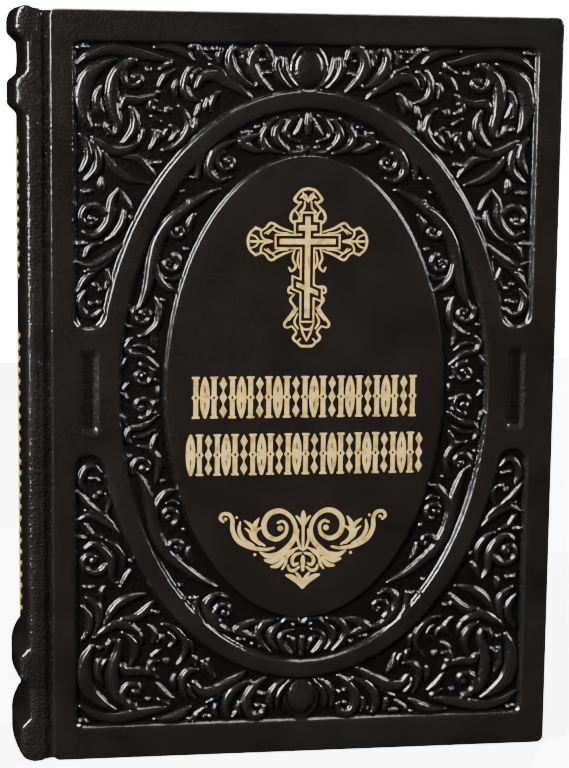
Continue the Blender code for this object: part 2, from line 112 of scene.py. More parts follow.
def corner_strokes():
    strokes = [
        # top leaf and the great C leaf of the corner
        [(8.6, 229.6, .5), (13, 232.4, 1.2), (20, 234.2, 1.6), (28, 233, 1.6), (35, 231.6, 1.0),
         (38.4, 231.2, .4)],
        [(20.5, 231.2, .5), (15.5, 228.4, 1.5), (11.6, 224.5, 2.1), (10.2, 219, 2.1), (10.6, 213.5, 1.5),
         (12.6, 209, .5)],
        [(24.5, 230.6, .5), (20.8, 226.5, 1.3), (19.6, 221, 1.7), (20, 215.5, 1.5), (21.4, 211, 1.1),
         (20.8, 207.6, .8),
         (18.6, 207.6, .6)],
        [(16.2, 222.5, .4), (14.6, 219, 1.0), (14.8, 214.6, .7), (15.4, 213.6, .3)],
        [(15.6, 218, .3), (16.2, 215.6, .6), (17.2, 214, .4)],
        [(33.6, 219.8, .5), (28.5, 218.2, 1.2), (24.2, 218.2, 1.4), (22.6, 216, .8)],
        # lower whirl of the corner
        [(25.6, 216, .4), (27, 212.6, 1.0), (26.6, 208.6, 1.2), (24, 205.4, .7), (22.6, 204.6, .3)],
        [(13.2, 206.2, .4), (17, 203.6, 1.2), (21, 201.8, 1.4), (25.4, 202.8, 1.1), (28.4, 205, .4)],
        [(17.6, 210.8, .4), (18, 208.8, .7), (19.6, 207.6, .4)],
        [(29.2, 208.8, .4), (29, 206.4, .7), (28.4, 204.6, .3)],
        # leaf bundle
        [(37.6, 231.8, .4), (37.8, 229.8, .8), (35, 228.2, .5)],
        [(39.6, 228, .4), (36.6, 225.8, .9), (34.6, 222.8, .5)],
        [(34.4, 221, .4), (32.2, 217.8, .9), (32.4, 215.4, .9), (34.6, 215, .4)],
        [(32.4, 213.2, .4), (34.8, 211.4, .6)],
        [(37.6, 215.4, .8), (37.4, 214.8, .8)],
        [(41.2, 216.4, .4), (43.4, 213.6, .7), (44.2, 210, .9), (42.8, 206.4, 1.1), (39.4, 203.2, .9),
         (36, 202.2, .4)],
        [(33, 208.6, .4), (33.8, 205.8, .9), (31.8, 202.6, .4)],
        [(34.4, 208.6, .3), (35.8, 206.2, .5)], [(37.2, 209, .3), (36, 206.6, .6)],
        [(38.6, 210.2, .4), (40.2, 208, .8), (38.6, 205.4, .5)],
        [(46.4, 212.4, .4), (45.8, 209, .8), (44.4, 207.4, .3)],
        # scroll and leaves beside the cabochon
        [(33.4, 235, .4), (38.5, 234.9, 1.1), (42.4, 233.6, 1.3), (45.6, 231.2, .5)],
        [(40.4, 224.6, .4), (39.8, 222.4, .8), (40.2, 219.8, .4)],
        [(44.6, 228.8, .4), (43.2, 225.4, .9), (43, 221.6, 1.1), (45, 218.8, 1.0), (48.2, 218.2, .4)],
        [(47.6, 228.4, .4), (45.6, 226.2, .8), (45.2, 223.8, .5)],
        [(47, 235.9, .4), (47.8, 234, .8), (50.8, 231.4, .4)],
        [(54.8, 234.8, .4), (54, 232.8, .8), (54.2, 230.6, .4)],
        [(51.2, 229.8, .4), (54.8, 228.2, .6)],
        [(46.8, 222.6, .6), (48.8, 225.6, 1.3), (53, 226.2, 1.7), (58, 223.6, 1.5), (62.6, 220.8, .9),
         (64.4, 219.4, .3)],
        [(58.6, 235.2, .7), (57.6, 232.4, 1.1), (58.6, 228.2, 1.4), (61.4, 225, 1.3), (65.6, 222.8, .5)],
        [(59.8, 235.4, .4), (61, 233.8, .6)],
        [(62.9, 234.8, .4), (61.9, 232.6, .8), (62.2, 230, .5)],
        [(70.9, 231.9, .7), (70, 234.4, .9), (67.6, 235.2, 1.1), (65.4, 233.4, 1.3), (64.8, 229.6, 1.5),
         (67, 225.4, 1.3), (71, 221.9, .5)],
        [(73.1, 232.2, .7), (72.8, 229.4, 1.0), (74.2, 225.8, 1.0), (77.4, 222.9, .4)],
        [(75.2, 232.2, .6), (75.4, 229, .9), (77, 225.8, .8), (79.4, 223.3, .4)],
        # tips over the oval
        [(50.4, 218.8, .4), (50, 216.8, .7), (49.4, 215.2, .3)],
        [(47.6, 217, .4), (47.2, 214.8, .7), (46.4, 213.4, .3)],
        [(53.8, 221.2, .4), (52, 218.4, .9), (51.4, 214.8, .4)],
        # leaf star under the corner
        [(9.4, 207, .4), (11.6, 203.8, .9), (12, 199.4, 1.1), (9.6, 195.4, .5)],
        [(13.4, 205, .4), (15, 200.8, 1.1), (14.6, 196, 1.2), (11, 192.6, .5)],
        [(16.6, 202, .4), (19.8, 196.8, 1.2), (24.4, 193.4, 1.3), (30.6, 191.6, .4)],
        [(22.6, 200, .4), (27.6, 199.6, 1.2), (31.4, 196.2, .9), (33, 194.2, .3)],
        [(16.2, 193.2, .4), (16, 190.8, .8), (16.6, 188.8, .3)],
        # middle scroll and its stem
        [(21.6, 189.6, .4), (19.4, 186, .9), (19, 181, 1.2), (17.4, 177.4, 1.1), (13.6, 174.4, .9),
         (10.6, 175.8, .5)],
        [(21.6, 189.9, .3), (24, 186, .8), (25.4, 183.4, .4)],
        [(23.4, 182.8, .4), (22.9, 178.6, .9), (20.4, 175, .8), (17.6, 173.2, .3)],
        [(15.6, 172.2, .4), (12.4, 170.8, .8), (10.8, 167.8, .5)],
        [(8.2, 166, .3), (12.4, 164.8, .8), (18.6, 168, 1.0), (22.6, 171.6, .4)],
        [(10.6, 163, .3), (15.6, 164.2, .7), (20.4, 167.8, .3)],
        [(14.8, 163.2, .4), (11, 160.4, 1.0), (8.4, 156.6, .5)],
        [(17.8, 163.6, .4), (18.6, 160.4, .7), (17.4, 157.4, .3)],
        # last scroll, in the rounded end
        [(10.6, 156.8, .4), (9.2, 153.4, 1.0), (10.4, 149.4, .9), (13.4, 148.1, .8), (15.9, 150.2, .6)],
    ]
    strokes += volute(27, 225.4, 5.0, 95, .80, 1, 1.15, 1.0)
    strokes += volute(12.9, 180.2, 4.6, 25, .9, 1, 1.05, .9)
    strokes += dots((8.9, 234.6), (11, 235), (15.2, 209.8), (27.7, 204.2), (45.3, 235.4), (31.2, 228),
                    (33, 218),
                    (50.3, 234.6), (52.4, 234.8), (68.4, 231.5), (68.5, 227.2), (70.4, 227.5), (66.4, 223.6),
                    (32, 198), (34.3, 198.2), (10.5, 188.8), (12.4, 189), (8.7, 172), (10.5, 172.2),
                    (25.7, 180.4), (14, 158.6), (15.5, 157.2), (12.7, 152.4), (15.1, 152.8), (55.6, 227.2))
    return strokes


def ring_strokes():
    strokes = [
        # crest at the top of the ring
        [(83.5, 203.4, .5), (81.4, 201.9, .8), (78, 201.8, .6), (76.4, 203.2, .4)],
        [(79.8, 213.6, .5), (77.8, 212, .9), (76, 208.9, .9), (77, 206.6, .6), (80.2, 205.4, .4)],
        [(83.5, 214.3, .6), (83.5, 211.4, .9), (83.5, 208, .5)],
        [(81.4, 212.6, .4), (80.4, 209.4, .7), (79, 207.8, .4)],
        [(75.4, 212.6, .4), (72.9, 209, 1.0), (73.4, 205.6, 1.1), (76.6, 202.9, .5)],
        [(72.9, 213, .4), (69.9, 209.9, .8), (68.4, 206.4, 1.0), (70.4, 203.2, 1.1), (75, 201.6, .4)],
        [(67.4, 207.6, .4), (64.4, 206.6, 1.0), (61.4, 204.9, 1.2), (66, 202.5, 1.0), (69.2, 202.2, .4)],
        # first pair of scrolls with the long S stem
        [(61.4, 205.8, .4), (56.4, 204.4, 1.0), (52, 200.4, 1.3), (51.2, 195.4, 1.2), (54.4, 192.6, .8),
         (57.4, 193.6, .4)],
        [(49.8, 201.4, .4), (47.6, 197.4, .9), (47.4, 193.4, .6)],
        [(54.2, 189.8, .4), (49, 187.2, .9), (43.8, 183.6, 1.3), (38.2, 178.8, 1.6), (34.4, 172.6, 1.7),
         (32.6, 165.4, 1.6),
         (31.4, 159, 1.3), (29.6, 153.6, .8), (28, 151, .4)],
        [(46.2, 181.6, .4), (44.8, 179, .8), (44.6, 176.4, .4)],
        [(34.9, 170.6, .3), (33.7, 166, .8), (34.6, 161.2, 1.0), (37.4, 157.6, 1.0), (40.4, 156.6, .4)],
        [(37.2, 160.8, .4), (40, 160.4, .6), (42, 161.8, .3)],
        # scrolls down the side
        [(33.9, 154.2, .3), (34.8, 150, .8), (34.2, 145.6, .9), (31.2, 142.6, .8), (28.4, 141.8, .4)],
        [(33.8, 146.2, .3), (32.8, 142, .8), (33.8, 138.2, .4)],
        [(25.4, 141, .4), (24.2, 138.6, .8), (25.6, 135.9, .8), (29.6, 135.2, .9), (34.4, 131.6, .4)],
        [(26.8, 138.6, .3), (30, 138.4, .7), (33, 136.4, .3)],
        [(23.8, 134.4, .4), (22.9, 131.9, .7)],
        [(24.3, 126, .5), (23.2, 124.3, .5)],
        [(34.7, 124.9, .3), (34.6, 122.9, .6)],
    ]
    for u, v, radius, start, turns, hand in ((57, 198.7, 3.6, 120, 1.0, 1), (41, 176.2, 3.3, 100, 1.0, 1),
                                             (38.3, 165.4, 3.2, 60, 1.0, -1), (29.7, 148.8, 3.5, 150, 1.0, 1),
                                             (29.3, 128.6, 3.7, 90, 1.15, -1)):
        strokes += volute(u, v, radius, start, turns, hand, .85, .65)
    strokes += dots((43.3, 193.5), (45.7, 193.6), (62, 208.2), (64, 208.4), (80.6, 203.6), (43.4, 170.2),
                    (44.6, 186),
                    (42, 189), (33, 130.6), (25, 145), (33.6, 127), (66.6, 210), (36, 153.6), (69.4, 210.8),
                    size=.62)
    return strokes


# ------------------------------------------------------------------ the embossing as a height field

def smooth_path(stroke, step):
    """A Catmull-Rom curve through the stroke's points, as samples about a step apart."""
    points = np.array(stroke, dtype=float)
    if len(points) == 2:
        count = max(2, int(np.hypot(*(points[1] - points[0])[:2]) / step) + 1)
        t = np.linspace(0, 1, count)[:, None]
        return points[0] * (1 - t) + points[1] * t
    padded = np.vstack([2 * points[0] - points[1], points, 2 * points[-1] - points[-2]])
    out = []
    for i in range(1, len(padded) - 2):
        p0, p1, p2, p3 = padded[i - 1:i + 3]
        count = max(2, int(np.hypot(*(p2 - p1)[:2]) / step) + 1)
        t = np.linspace(0, 1, count, endpoint=False)[:, None]
        out.append(0.5 * (2 * p1 + (p2 - p0) * t + (2 * p0 - 5 * p1 + 4 * p2 - p3) * t ** 2
                          + (3 * p1 - p0 - 3 * p2 + p3) * t ** 3))
    out.append(padded[-2][None])
    samples = np.vstack(out)
    samples[:, 2] = np.maximum(samples[:, 2], points[:, 2].min())
    return samples


def smoothstep(x):
    x = np.clip(x, 0, 1)
    return x * x * (3 - 2 * x)


def soft_min(a, b, k):
    h = np.clip(0.5 + 0.5 * (b - a) / k, 0, 1)
    return b + (a - b) * h - k * h * (1 - h)


def outside_oval(a, b, axes):
    """Signed distance from an oval about the ornament's middle, more than 0 outside it."""
    k = np.sqrt((a / axes[0]) ** 2 + (b / axes[1]) ** 2) + 1e-9
    return (k - 1) * k / np.sqrt((a / axes[0] ** 2) ** 2 + (b / axes[1] ** 2) ** 2 + 1e-12)


def blur(field, passes):
    for _ in range(passes):
        p = np.pad(field, 1, mode="reflect")
        field = (p[:-2, 1:-1] + 2 * p[1:-1, 1:-1] + p[2:, 1:-1]) / 4
        p = np.pad(field, 1, mode="reflect")
        field = (p[1:-1, :-2] + 2 * p[1:-1, 1:-1] + p[1:-1, 2:]) / 4
    return field


def panel_inside(a, b):
    """Distance inside the corner panels' outline, less than 0 outside."""
    edge = soft_min(WINDOW_A - a, WINDOW_B - b, 3.0)
    edge = soft_min(edge, outside_oval(a, b, CORNER_OVAL), 2.0)
    return soft_min(edge, b - PANEL_END, 5.0)


def ring_inside(a, b):
    return np.minimum(outside_oval(a, b, MEDALLION_OVAL), -outside_oval(a, b, RING_OVAL))


def emboss(strokes, shape):
    """Rounded ridges of all strokes, over a quarter with its origin at the ornament's middle."""
    field = np.zeros(shape)
    for stroke in strokes:
        for u, v, radius in smooth_path(stroke, CELL):
            a, b = (MID_U - u) / CELL, (v - MID_V) / CELL
            reach = 1.22 * radius / CELL
            i0, i1 = max(0, int(a - reach)), min(shape[0], int(a + reach) + 2)
            j0, j1 = max(0, int(b - reach)), min(shape[1], int(b + reach) + 2)
            if i0 >= i1 or j0 >= j1:
                continue
            ii, jj = np.ogrid[i0:i1, j0:j1]
            near = 1 - ((ii - a) ** 2 + (jj - b) ** 2) / reach ** 2
            top = min(1.25, 0.42 + 0.72 * radius)
            ridge = top * np.sqrt(np.clip(near, 0, 1))
            patch = field[i0:i1, j0:j1]
            np.maximum(patch, ridge, out=patch)
    return field


def quarter_heights():
    """Height of the cover's face over one quarter, 0 on the border and less than 0 where sunk."""
    count = (int((COVER_W - MID_U) / CELL) + 3, int(MID_V / CELL) + 3)
    a = np.arange(count[0])[:, None] * CELL
    b = np.arange(count[1])[None, :] * CELL
    inside = np.maximum(panel_inside(a, b), ring_inside(a, b))
    ridges = emboss(corner_strokes() + ring_strokes(), count)
    cabochon = 1 - (a / CABOCHON_OVAL[0]) ** 2 - ((b - CABOCHON_AT) / CABOCHON_OVAL[1]) ** 2
    rim_at = np.sqrt((a / CABOCHON_RIM[0]) ** 2 + ((b - CABOCHON_AT) / CABOCHON_RIM[1]) ** 2)
    rim = 1 - np.abs(rim_at - 1) / 0.14
    ridges = np.maximum(ridges, np.sqrt(np.clip(cabochon, 0, 1)) * 1.3)
    ridges = np.maximum(ridges, np.sqrt(np.clip(rim, 0, 1)) * 0.5)
    beside = outside_oval(a, b, MEDALLION_OVAL)
    floor = -SUNK * smoothstep((np.maximum(panel_inside(a, b), -outside_oval(a, b, RING_OVAL)) + 0.35) / WALL)
    floor = np.where(beside < 3, -SUNK * smoothstep((beside + 0.25) / MEDALLION_WALL), floor)
    shoulder = -0.22 * np.exp(-np.clip(-inside, 0, 50) / 1.1)
    height = floor + shoulder + ridges * smoothstep(inside / 0.9 + 0.1)
    medallion = smoothstep(-outside_oval(a, b, MEDALLION_OVAL) / 1.2 + 0.5)
    height -= MEDALLION_DROP * medallion
    slot = soft_min(SLOT_HALF_WIDTH - np.abs(a - SLOT_AT), SLOT_HALF_LENGTH - b, 1.8)
    height -= SLOT_DEPTH * smoothstep((slot + 0.2) / SLOT_WALL)
    stretch = np.exp(-((a - WINDOW_A - 2.0) / 1.3) ** 2) * smoothstep((b - 68) / 8)
    height += 0.05 * stretch * np.sin(b * 4.1 + 0.8 * np.sin(b * 0.9)) * smoothstep((108 - b) / 6)
    return blur(height, 2)


class Relief:
    """The quarter's heights, read anywhere on the face by mirroring."""

    def __init__(self):
        self.height = quarter_heights()
        self.slope_a = np.gradient(self.height, CELL, axis=0)
        self.slope_b = np.gradient(self.height, CELL, axis=1)
        bend = np.abs(np.gradient(self.slope_a, CELL, axis=0)) + np.abs(np.gradient(self.slope_b, CELL,
                                                                                    axis=1))
        self.bend = blur(bend, 8)

    def read(self, field, u, v):
        a, b = np.abs(u - MID_U) / (ORNAMENT * CELL), np.abs(v - MID_V) / (ORNAMENT * CELL)
        i = np.clip(a.astype(int), 0, field.shape[0] - 2)
        j = np.clip(b.astype(int), 0, field.shape[1] - 2)
        fa, fb = a - i, b - j
        return ((field[i, j] * (1 - fa) + field[i + 1, j] * fa) * (1 - fb)
                + (field[i, j + 1] * (1 - fa) + field[i + 1, j + 1] * fa) * fb)

    def depth(self, u, v):
        return -self.read(self.height, u, v)

    def slopes(self, u, v):
        return (self.read(self.slope_a, u, v) * np.sign(u - MID_U),
                self.read(self.slope_b, u, v) * np.sign(v - MID_V))


# ------------------------------------------------------------------ mesh helpers

def make_piece(name, points, faces, material, normals=None, smooth=True, relief=None):
    """A mesh object from points in millimetres."""
    mesh = bpy.data.meshes.new(name)
    mesh.from_pydata((np.asarray(points) * MM).tolist(), [], [list(f) for f in faces])
    if smooth:
        mesh.shade_smooth()
    if relief is not None:
        # relief: height per point, which the leather material reads to paint shade into the sunk ground
        layer = mesh.attributes.new("relief", "FLOAT", "POINT")
        layer.data.foreach_set("value", np.asarray(relief, dtype=np.float32))
    mesh.materials.append(material)
    if normals is not None:
        mesh.normals_split_custom_set_from_vertices(np.asarray(normals).tolist())
    piece = bpy.data.objects.new(name, mesh)
    bpy.context.scene.collection.objects.link(piece)
    return piece


def grid_faces(rows, columns, closed=False, flip=False):
    """Quads over rows x columns points; closed joins the last column to the first."""
    out = []
    for i in range(rows - 1):
        for j in range(columns if closed else columns - 1):
            k = (j + 1) % columns
            quad = (i * columns + j, i * columns + k, (i + 1) * columns + k, (i + 1) * columns + j)
            out.append(quad[::-1] if flip else quad)
    return out


# ------------------------------------------------------------------ cover leather

EDGE_ROUND = 1.1                    # radius of the leather over the cover's outer edges
CORNER_ROUND = 2.6                  # radius of the cover's corners, seen from the front
INNER_ROUND = 0.8                   # radius over the edges towards the leaves
TURN_IN = 13.0                      # width of leather turned in
LOOP_STEP = 0.9


def cover_loop(offset):
    """A rounded rectangle, offset outwards from the cover's outline, counter-clockwise from the tail."""
    inset = max(CORNER_ROUND, -offset + 0.2)
    radius = inset + offset
    corners = [(COVER_W - inset, inset, -90), (COVER_W - inset, COVER_H - inset, 0),
               (inset, COVER_H - inset, 90), (inset, inset, 180)]
    out = []
    for index, (u, v, start) in enumerate(corners):
        for k in range(7):
            turn = math.radians(start + 15 * k)
            out.append((u + radius * math.cos(turn), v + radius * math.sin(turn)))
        u2, v2, start2 = corners[(index + 1) % 4]
        turn = math.radians(start2)
        end = (u2 + radius * math.cos(turn), v2 + radius * math.sin(turn))
        length = COVER_H if index in (0, 2) else COVER_W
        count = int(length / LOOP_STEP)
        begin = out[-1]
        out += [(begin[0] + (end[0] - begin[0]) * k / count, begin[1] + (end[1] - begin[1]) * k / count)
                for k in range(1, count)]
    return np.array(out)


def face_points(relief, finest):
    """Points over the flat of the face, closer together where the embossing bends."""
    margin = EDGE_ROUND + 0.5
    nu, nv = int((COVER_W - 2 * margin) / finest), int((COVER_H - 2 * margin) / finest)
    i, j = np.meshgrid(np.arange(nu + 1), np.arange(nv + 1), indexing="ij")
    u, v = margin + i * finest, margin + j * finest
    bend = relief.read(relief.bend, u, v)
    need = np.select([bend > 0.16, bend > 0.05, bend > 0.012], [0, 1, 2], 4)
    level = np.zeros_like(i)
    for k in range(1, 5):
        level[(i % 2 ** k == 0) & (j % 2 ** k == 0)] = k
    keep = level >= need
    return np.stack([u[keep], v[keep]], 1)


def cover_place(side, u, v, depth):
    """Points of a cover in the frame: side -1 is the front, 1 the back."""
    return np.stack([COVER_X + u, side * (COVER_FACE - depth), v], -1)


def edge_profile():
    """(offset, depth, outward, inward) around the cover's edge, from the face to the turn-in's end."""
    out = []
    for k in range(1, 8):
        turn = math.pi / 2 * k / 7
        out.append((-EDGE_ROUND * (1 - math.sin(turn)), EDGE_ROUND * (1 - math.cos(turn)),
                    math.sin(turn), -math.cos(turn)))
    for k in range(0, 5):
        turn = math.pi / 2 * k / 4
        out.append((-INNER_ROUND * (1 - math.cos(turn)), COVER_T - INNER_ROUND * (1 - math.sin(turn)),
                    math.cos(turn), math.sin(turn)))
    out.append((-TURN_IN, COVER_T, 0, 1))
    return out


def cover_skin(side, prefix, relief, finest, material):
    """The cover's leather: the embossed face in four pieces, of which one carries the edges."""
    loop = cover_loop(-EDGE_ROUND)
    inner = face_points(relief, finest)
    count = len(loop)
    points = np.vstack([loop, inner])
    edges = [(k, (k + 1) % count) for k in range(count)]
    flat, _, faces = delaunay_2d_cdt([Vector(p) for p in points], edges, [], 0, 1e-5)[:3]
    uv = np.array([tuple(p) for p in flat])
    faces = np.array(faces)
    depth = relief.depth(uv[:, 0], uv[:, 1])
    su, sv = relief.slopes(uv[:, 0], uv[:, 1])
    verts = cover_place(side, uv[:, 0], uv[:, 1], depth)
    normals = np.stack([-su, np.full_like(su, side), -sv], 1)
    normals /= np.linalg.norm(normals, axis=1)[:, None]
    if side > 0:
        faces = faces[:, ::-1]

    centre = uv[faces].mean(axis=1)
    a, b = np.abs(centre[:, 0] - MID_U) / ORNAMENT, np.abs(centre[:, 1] - MID_V) / ORNAMENT
    region = np.zeros(len(faces), int)
    region[ring_inside(a, b) > -1.0] = 3
    corner = panel_inside(a, b) > -1.0
    region[corner & (centre[:, 1] > MID_V)] = 1
    region[corner & (centre[:, 1] < MID_V)] = 2

    pieces = []
    names = ("cover_leather", "upper_corner_embossing", "lower_corner_embossing", "ring_embossing")
    for index, name in enumerate(names):
        mine = faces[region == index]
        used, local = np.unique(mine, return_inverse=True)
        local = local.reshape(mine.shape).tolist()
        # h is the height over the panels' depth; the leather material paints shade into the sunk ground from
        # it
        p, n, h = verts[used], normals[used], -depth[used] / SUNK
        if index == 0:
            p, n, h, local = add_edges(side, p, n, h, local, np.searchsorted(used, np.arange(count)))
        pieces.append(make_piece(f"{prefix}_{name}", p, local, material, n, relief=h))
    for piece in pieces:
        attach(piece, prefix + "_cover")
    return pieces


def add_edges(side, points, normals, heights, faces, rim):
    """Carries the face's rim over the rounded edges and on to the turn-ins."""
    points, normals, heights, faces = [points], [normals], list(heights), list(faces)
    previous = list(rim)
    total = len(points[0])
    middle = cover_loop(0.0)
    outward = middle - cover_loop(-0.5)
    outward /= np.linalg.norm(outward, axis=1)[:, None]
    for offset, depth, out, into in edge_profile():
        loop = cover_loop(offset)
        points.append(cover_place(side, loop[:, 0], loop[:, 1], np.full(len(loop), depth)))
        normals.append(np.stack([outward[:, 0] * out, np.full(len(loop), -side * into), outward[:, 1] * out],
                                1))
        heights += [0.0] * len(loop)
        current = list(range(total, total + len(loop)))
        total += len(loop)
        for k in range(len(loop)):
            m = (k + 1) % len(loop)
            quad = (previous[k], current[k], current[m], previous[m])
            faces.append(quad if side < 0 else quad[::-1])
        previous = current
    return np.vstack(points), np.vstack(normals), heights, faces


# ------------------------------------------------------------------ spine leather

# heights of the head, upper, lower and tail bands; the end ones run off the spine and make the caps
BANDS = ((236.5, 300.0), (213.5, 225.5), (26.0, 38.0), (-60.0, 14.0))
SPINE_HALF = [(-80.1, 24.3), (-80.7, 24.9), (-81.5, 25.25), (-82.8, 25.35), (-84.0, 25.1), (-84.9, 24.3),
              (-85.4, 22.6), (-86.1, 18.5), (-86.8, 13.0), (-87.35, 7.0), (-87.6, 0.0)]
CAP_RISE = 1.0                      # the caps stand this far past the covers
CAP_DROP, CAP_ROUND = 3.4, 5.0      # the caps' rounding: inwards, over a height
BAND_LIFT = 3.0
LEATHER_T = 1.3
SPINE_COLUMNS, SPINE_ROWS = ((90, 520))


def spread_evenly(points, count):
    """count samples along a smooth curve, evenly spaced by length."""
    fine = smooth_path([(*p, 1.0) for p in points], 0.05)[:, :2]
    run = np.concatenate([[0], np.cumsum(np.hypot(*np.diff(fine, axis=0).T))])
    at = np.linspace(0, run[-1], count)
    return np.stack([np.interp(at, run, fine[:, 0]), np.interp(at, run, fine[:, 1])], 1)


def spine_outline(count):
    """The spine's outer section from the front joint round to the back one, as (x, y)."""
    front = [(x, -y) for x, y in SPINE_HALF]
    back = [(x, y) for x, y in SPINE_HALF[-2::-1]]
    return spread_evenly(front + back, count)


def band_rise(z):
    rise = np.zeros_like(z)
    for low, high in BANDS:
        rise = np.maximum(rise, smoothstep((z - low) / 4.0 + 0.3) * smoothstep((high - z) / 4.0 + 0.3))
    return rise


def spine_surface(outline, z):
    """Points of the spine's outer face on the given outline and heights: rows are heights."""
    x, y = outline[:, 0][None, :], outline[:, 1][None, :]
    rise = band_rise(z)[:, None]
    across = smoothstep((-81.4 - x) / 3.6)
    dip = 0.25 * np.exp(-((z - 231.0) / 4) ** 2)[:, None]
    pucker = np.zeros((len(z), outline.shape[0]))
    for centre, reach in ((241, 6), (226, 4), (212, 4), (38, 4), (25, 4), (6, 9)):
        window = np.exp(-((z - centre) / reach) ** 2)[:, None] * smoothstep((np.abs(y) - 17) / 7)
        pucker += window * np.sin(z[:, None] * 2.6 + np.abs(y) * 1.9 + x * 3.1 + centre)
        pucker += 0.7 * window * np.sin(z[:, None] * 4.3 - x * 5.2 + centre * 2)
    end = np.minimum(z - z[0], z[-1] - z)
    cap = CAP_DROP * (1 - np.sqrt(np.clip(1 - (1 - np.clip(end / CAP_ROUND, 0, 1)) ** 2, 0, 1)))[:, None]
    px = x + (cap + dip - BAND_LIFT * rise - 0.10 * pucker) * across
    py = y + np.sign(y) * (0.35 * rise * across + 0.06 * pucker) * smoothstep((np.abs(y) - 20) / 4)
    pz = z[:, None] * (1 - CAP_RISE / (COVER_H + CAP_RISE) * (1 - across))
    return np.stack([px, py, pz], -1)


def spine_skin(material):
    """One closed sheet of leather, rounded over at head and tail."""
    columns, rows = SPINE_COLUMNS, SPINE_ROWS
    z = np.linspace(0.0, COVER_H + CAP_RISE, rows)
    outline = spine_outline(columns)
    outer = spine_surface(outline, z)
    along = np.gradient(outer, axis=1)
    up = np.gradient(outer, axis=0)
    normal = np.cross(along, up)
    normal /= np.linalg.norm(normal, axis=2)[:, :, None]
    if normal[rows // 2, columns // 2, 0] > 0:
        normal = -normal
    normal[:, :, 2] = 0
    inner = outer - normal * LEATHER_T
    both = np.concatenate([outer, inner[:, ::-1]], axis=1)
    width = both.shape[1]
    faces = grid_faces(rows, width, closed=True)
    points = both.reshape(-1, 3)
    for row in (0, rows - 1):
        base = row * width
        for j in range(columns - 1):
            quad = (base + j, base + j + 1, base + width - 2 - j, base + width - 1 - j)
            faces.append(quad if row else quad[::-1])
    piece = make_piece("spine_cover_leather", points, faces, material)
    fix_normals(piece)
    piece.data.set_sharp_from_angle(angle=math.radians(60))
    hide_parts("spine_leather")
    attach(piece, "spine")
    return piece


def fix_normals(piece):
    """All faces of a closed piece turned outwards."""
    mesh = bmesh.new()
    mesh.from_mesh(piece.data)
    bmesh.ops.recalc_face_normals(mesh, faces=mesh.faces[:])
    mesh.to_mesh(piece.data)
    mesh.free()
    piece.data.update()


# ------------------------------------------------------------------ joint leather

HINGE_LEATHER_T = 0.9


def joint_skin(side, prefix, material):
    """The leather in the hinge groove between the spine and a cover."""
    groove = [(-82.6, 24.7), (-81.5, 25.05), (-80.4, 25.0), (-79.4, 24.65), (-78.6, 24.3), (-77.9, 24.1),
              (-77.3, 24.1), (-76.8, 24.0), (-76.3, 23.8)]
    path = spread_evenly(groove, 26)
    rows = 300
    z = np.linspace(0.5, COVER_H - 0.5, rows)
    inner = path[::-1] - np.array([0.0, HINGE_LEATHER_T])
    loop = np.vstack([path, inner])
    points = np.zeros((rows, len(loop), 3))
    points[:, :, 0] = loop[:, 0]
    points[:, :, 1] = loop[:, 1]
    points[:, :, 2] = z[:, None]
    crease = np.zeros((rows, len(loop)))
    for centre, reach in ((238, 10), (208, 14), (60, 20), (16, 18)):
        swell = np.exp(-((z - centre) / reach) ** 2)[:, None]
        crease += swell * np.sin(z[:, None] * 3.3 + loop[:, 0] * 2.0 + centre)
        crease += swell * 0.8 * np.sin(z[:, None] * 5.1 - loop[:, 0] * 3)
    middle = np.exp(-((loop[:, 0] + 79.3) / 1.3) ** 2)
    points[:, :, 1] += 0.2 * crease * middle
    points[:, :, 1] *= side
    points = points.reshape(-1, 3)
    faces = grid_faces(rows, len(loop), closed=True)
    faces.append(tuple(range(len(loop))))
    faces.append(tuple(range((rows - 1) * len(loop), rows * len(loop)))[::-1])
    piece = make_piece(f"{prefix}_hinge_groove_leather", points, faces, material)
    fix_normals(piece)
    piece.data.set_sharp_from_angle(angle=math.radians(60))
    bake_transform(piece)
    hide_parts(f"{prefix}_joint_leather")
    return piece


# ------------------------------------------------------------------ gold stamping

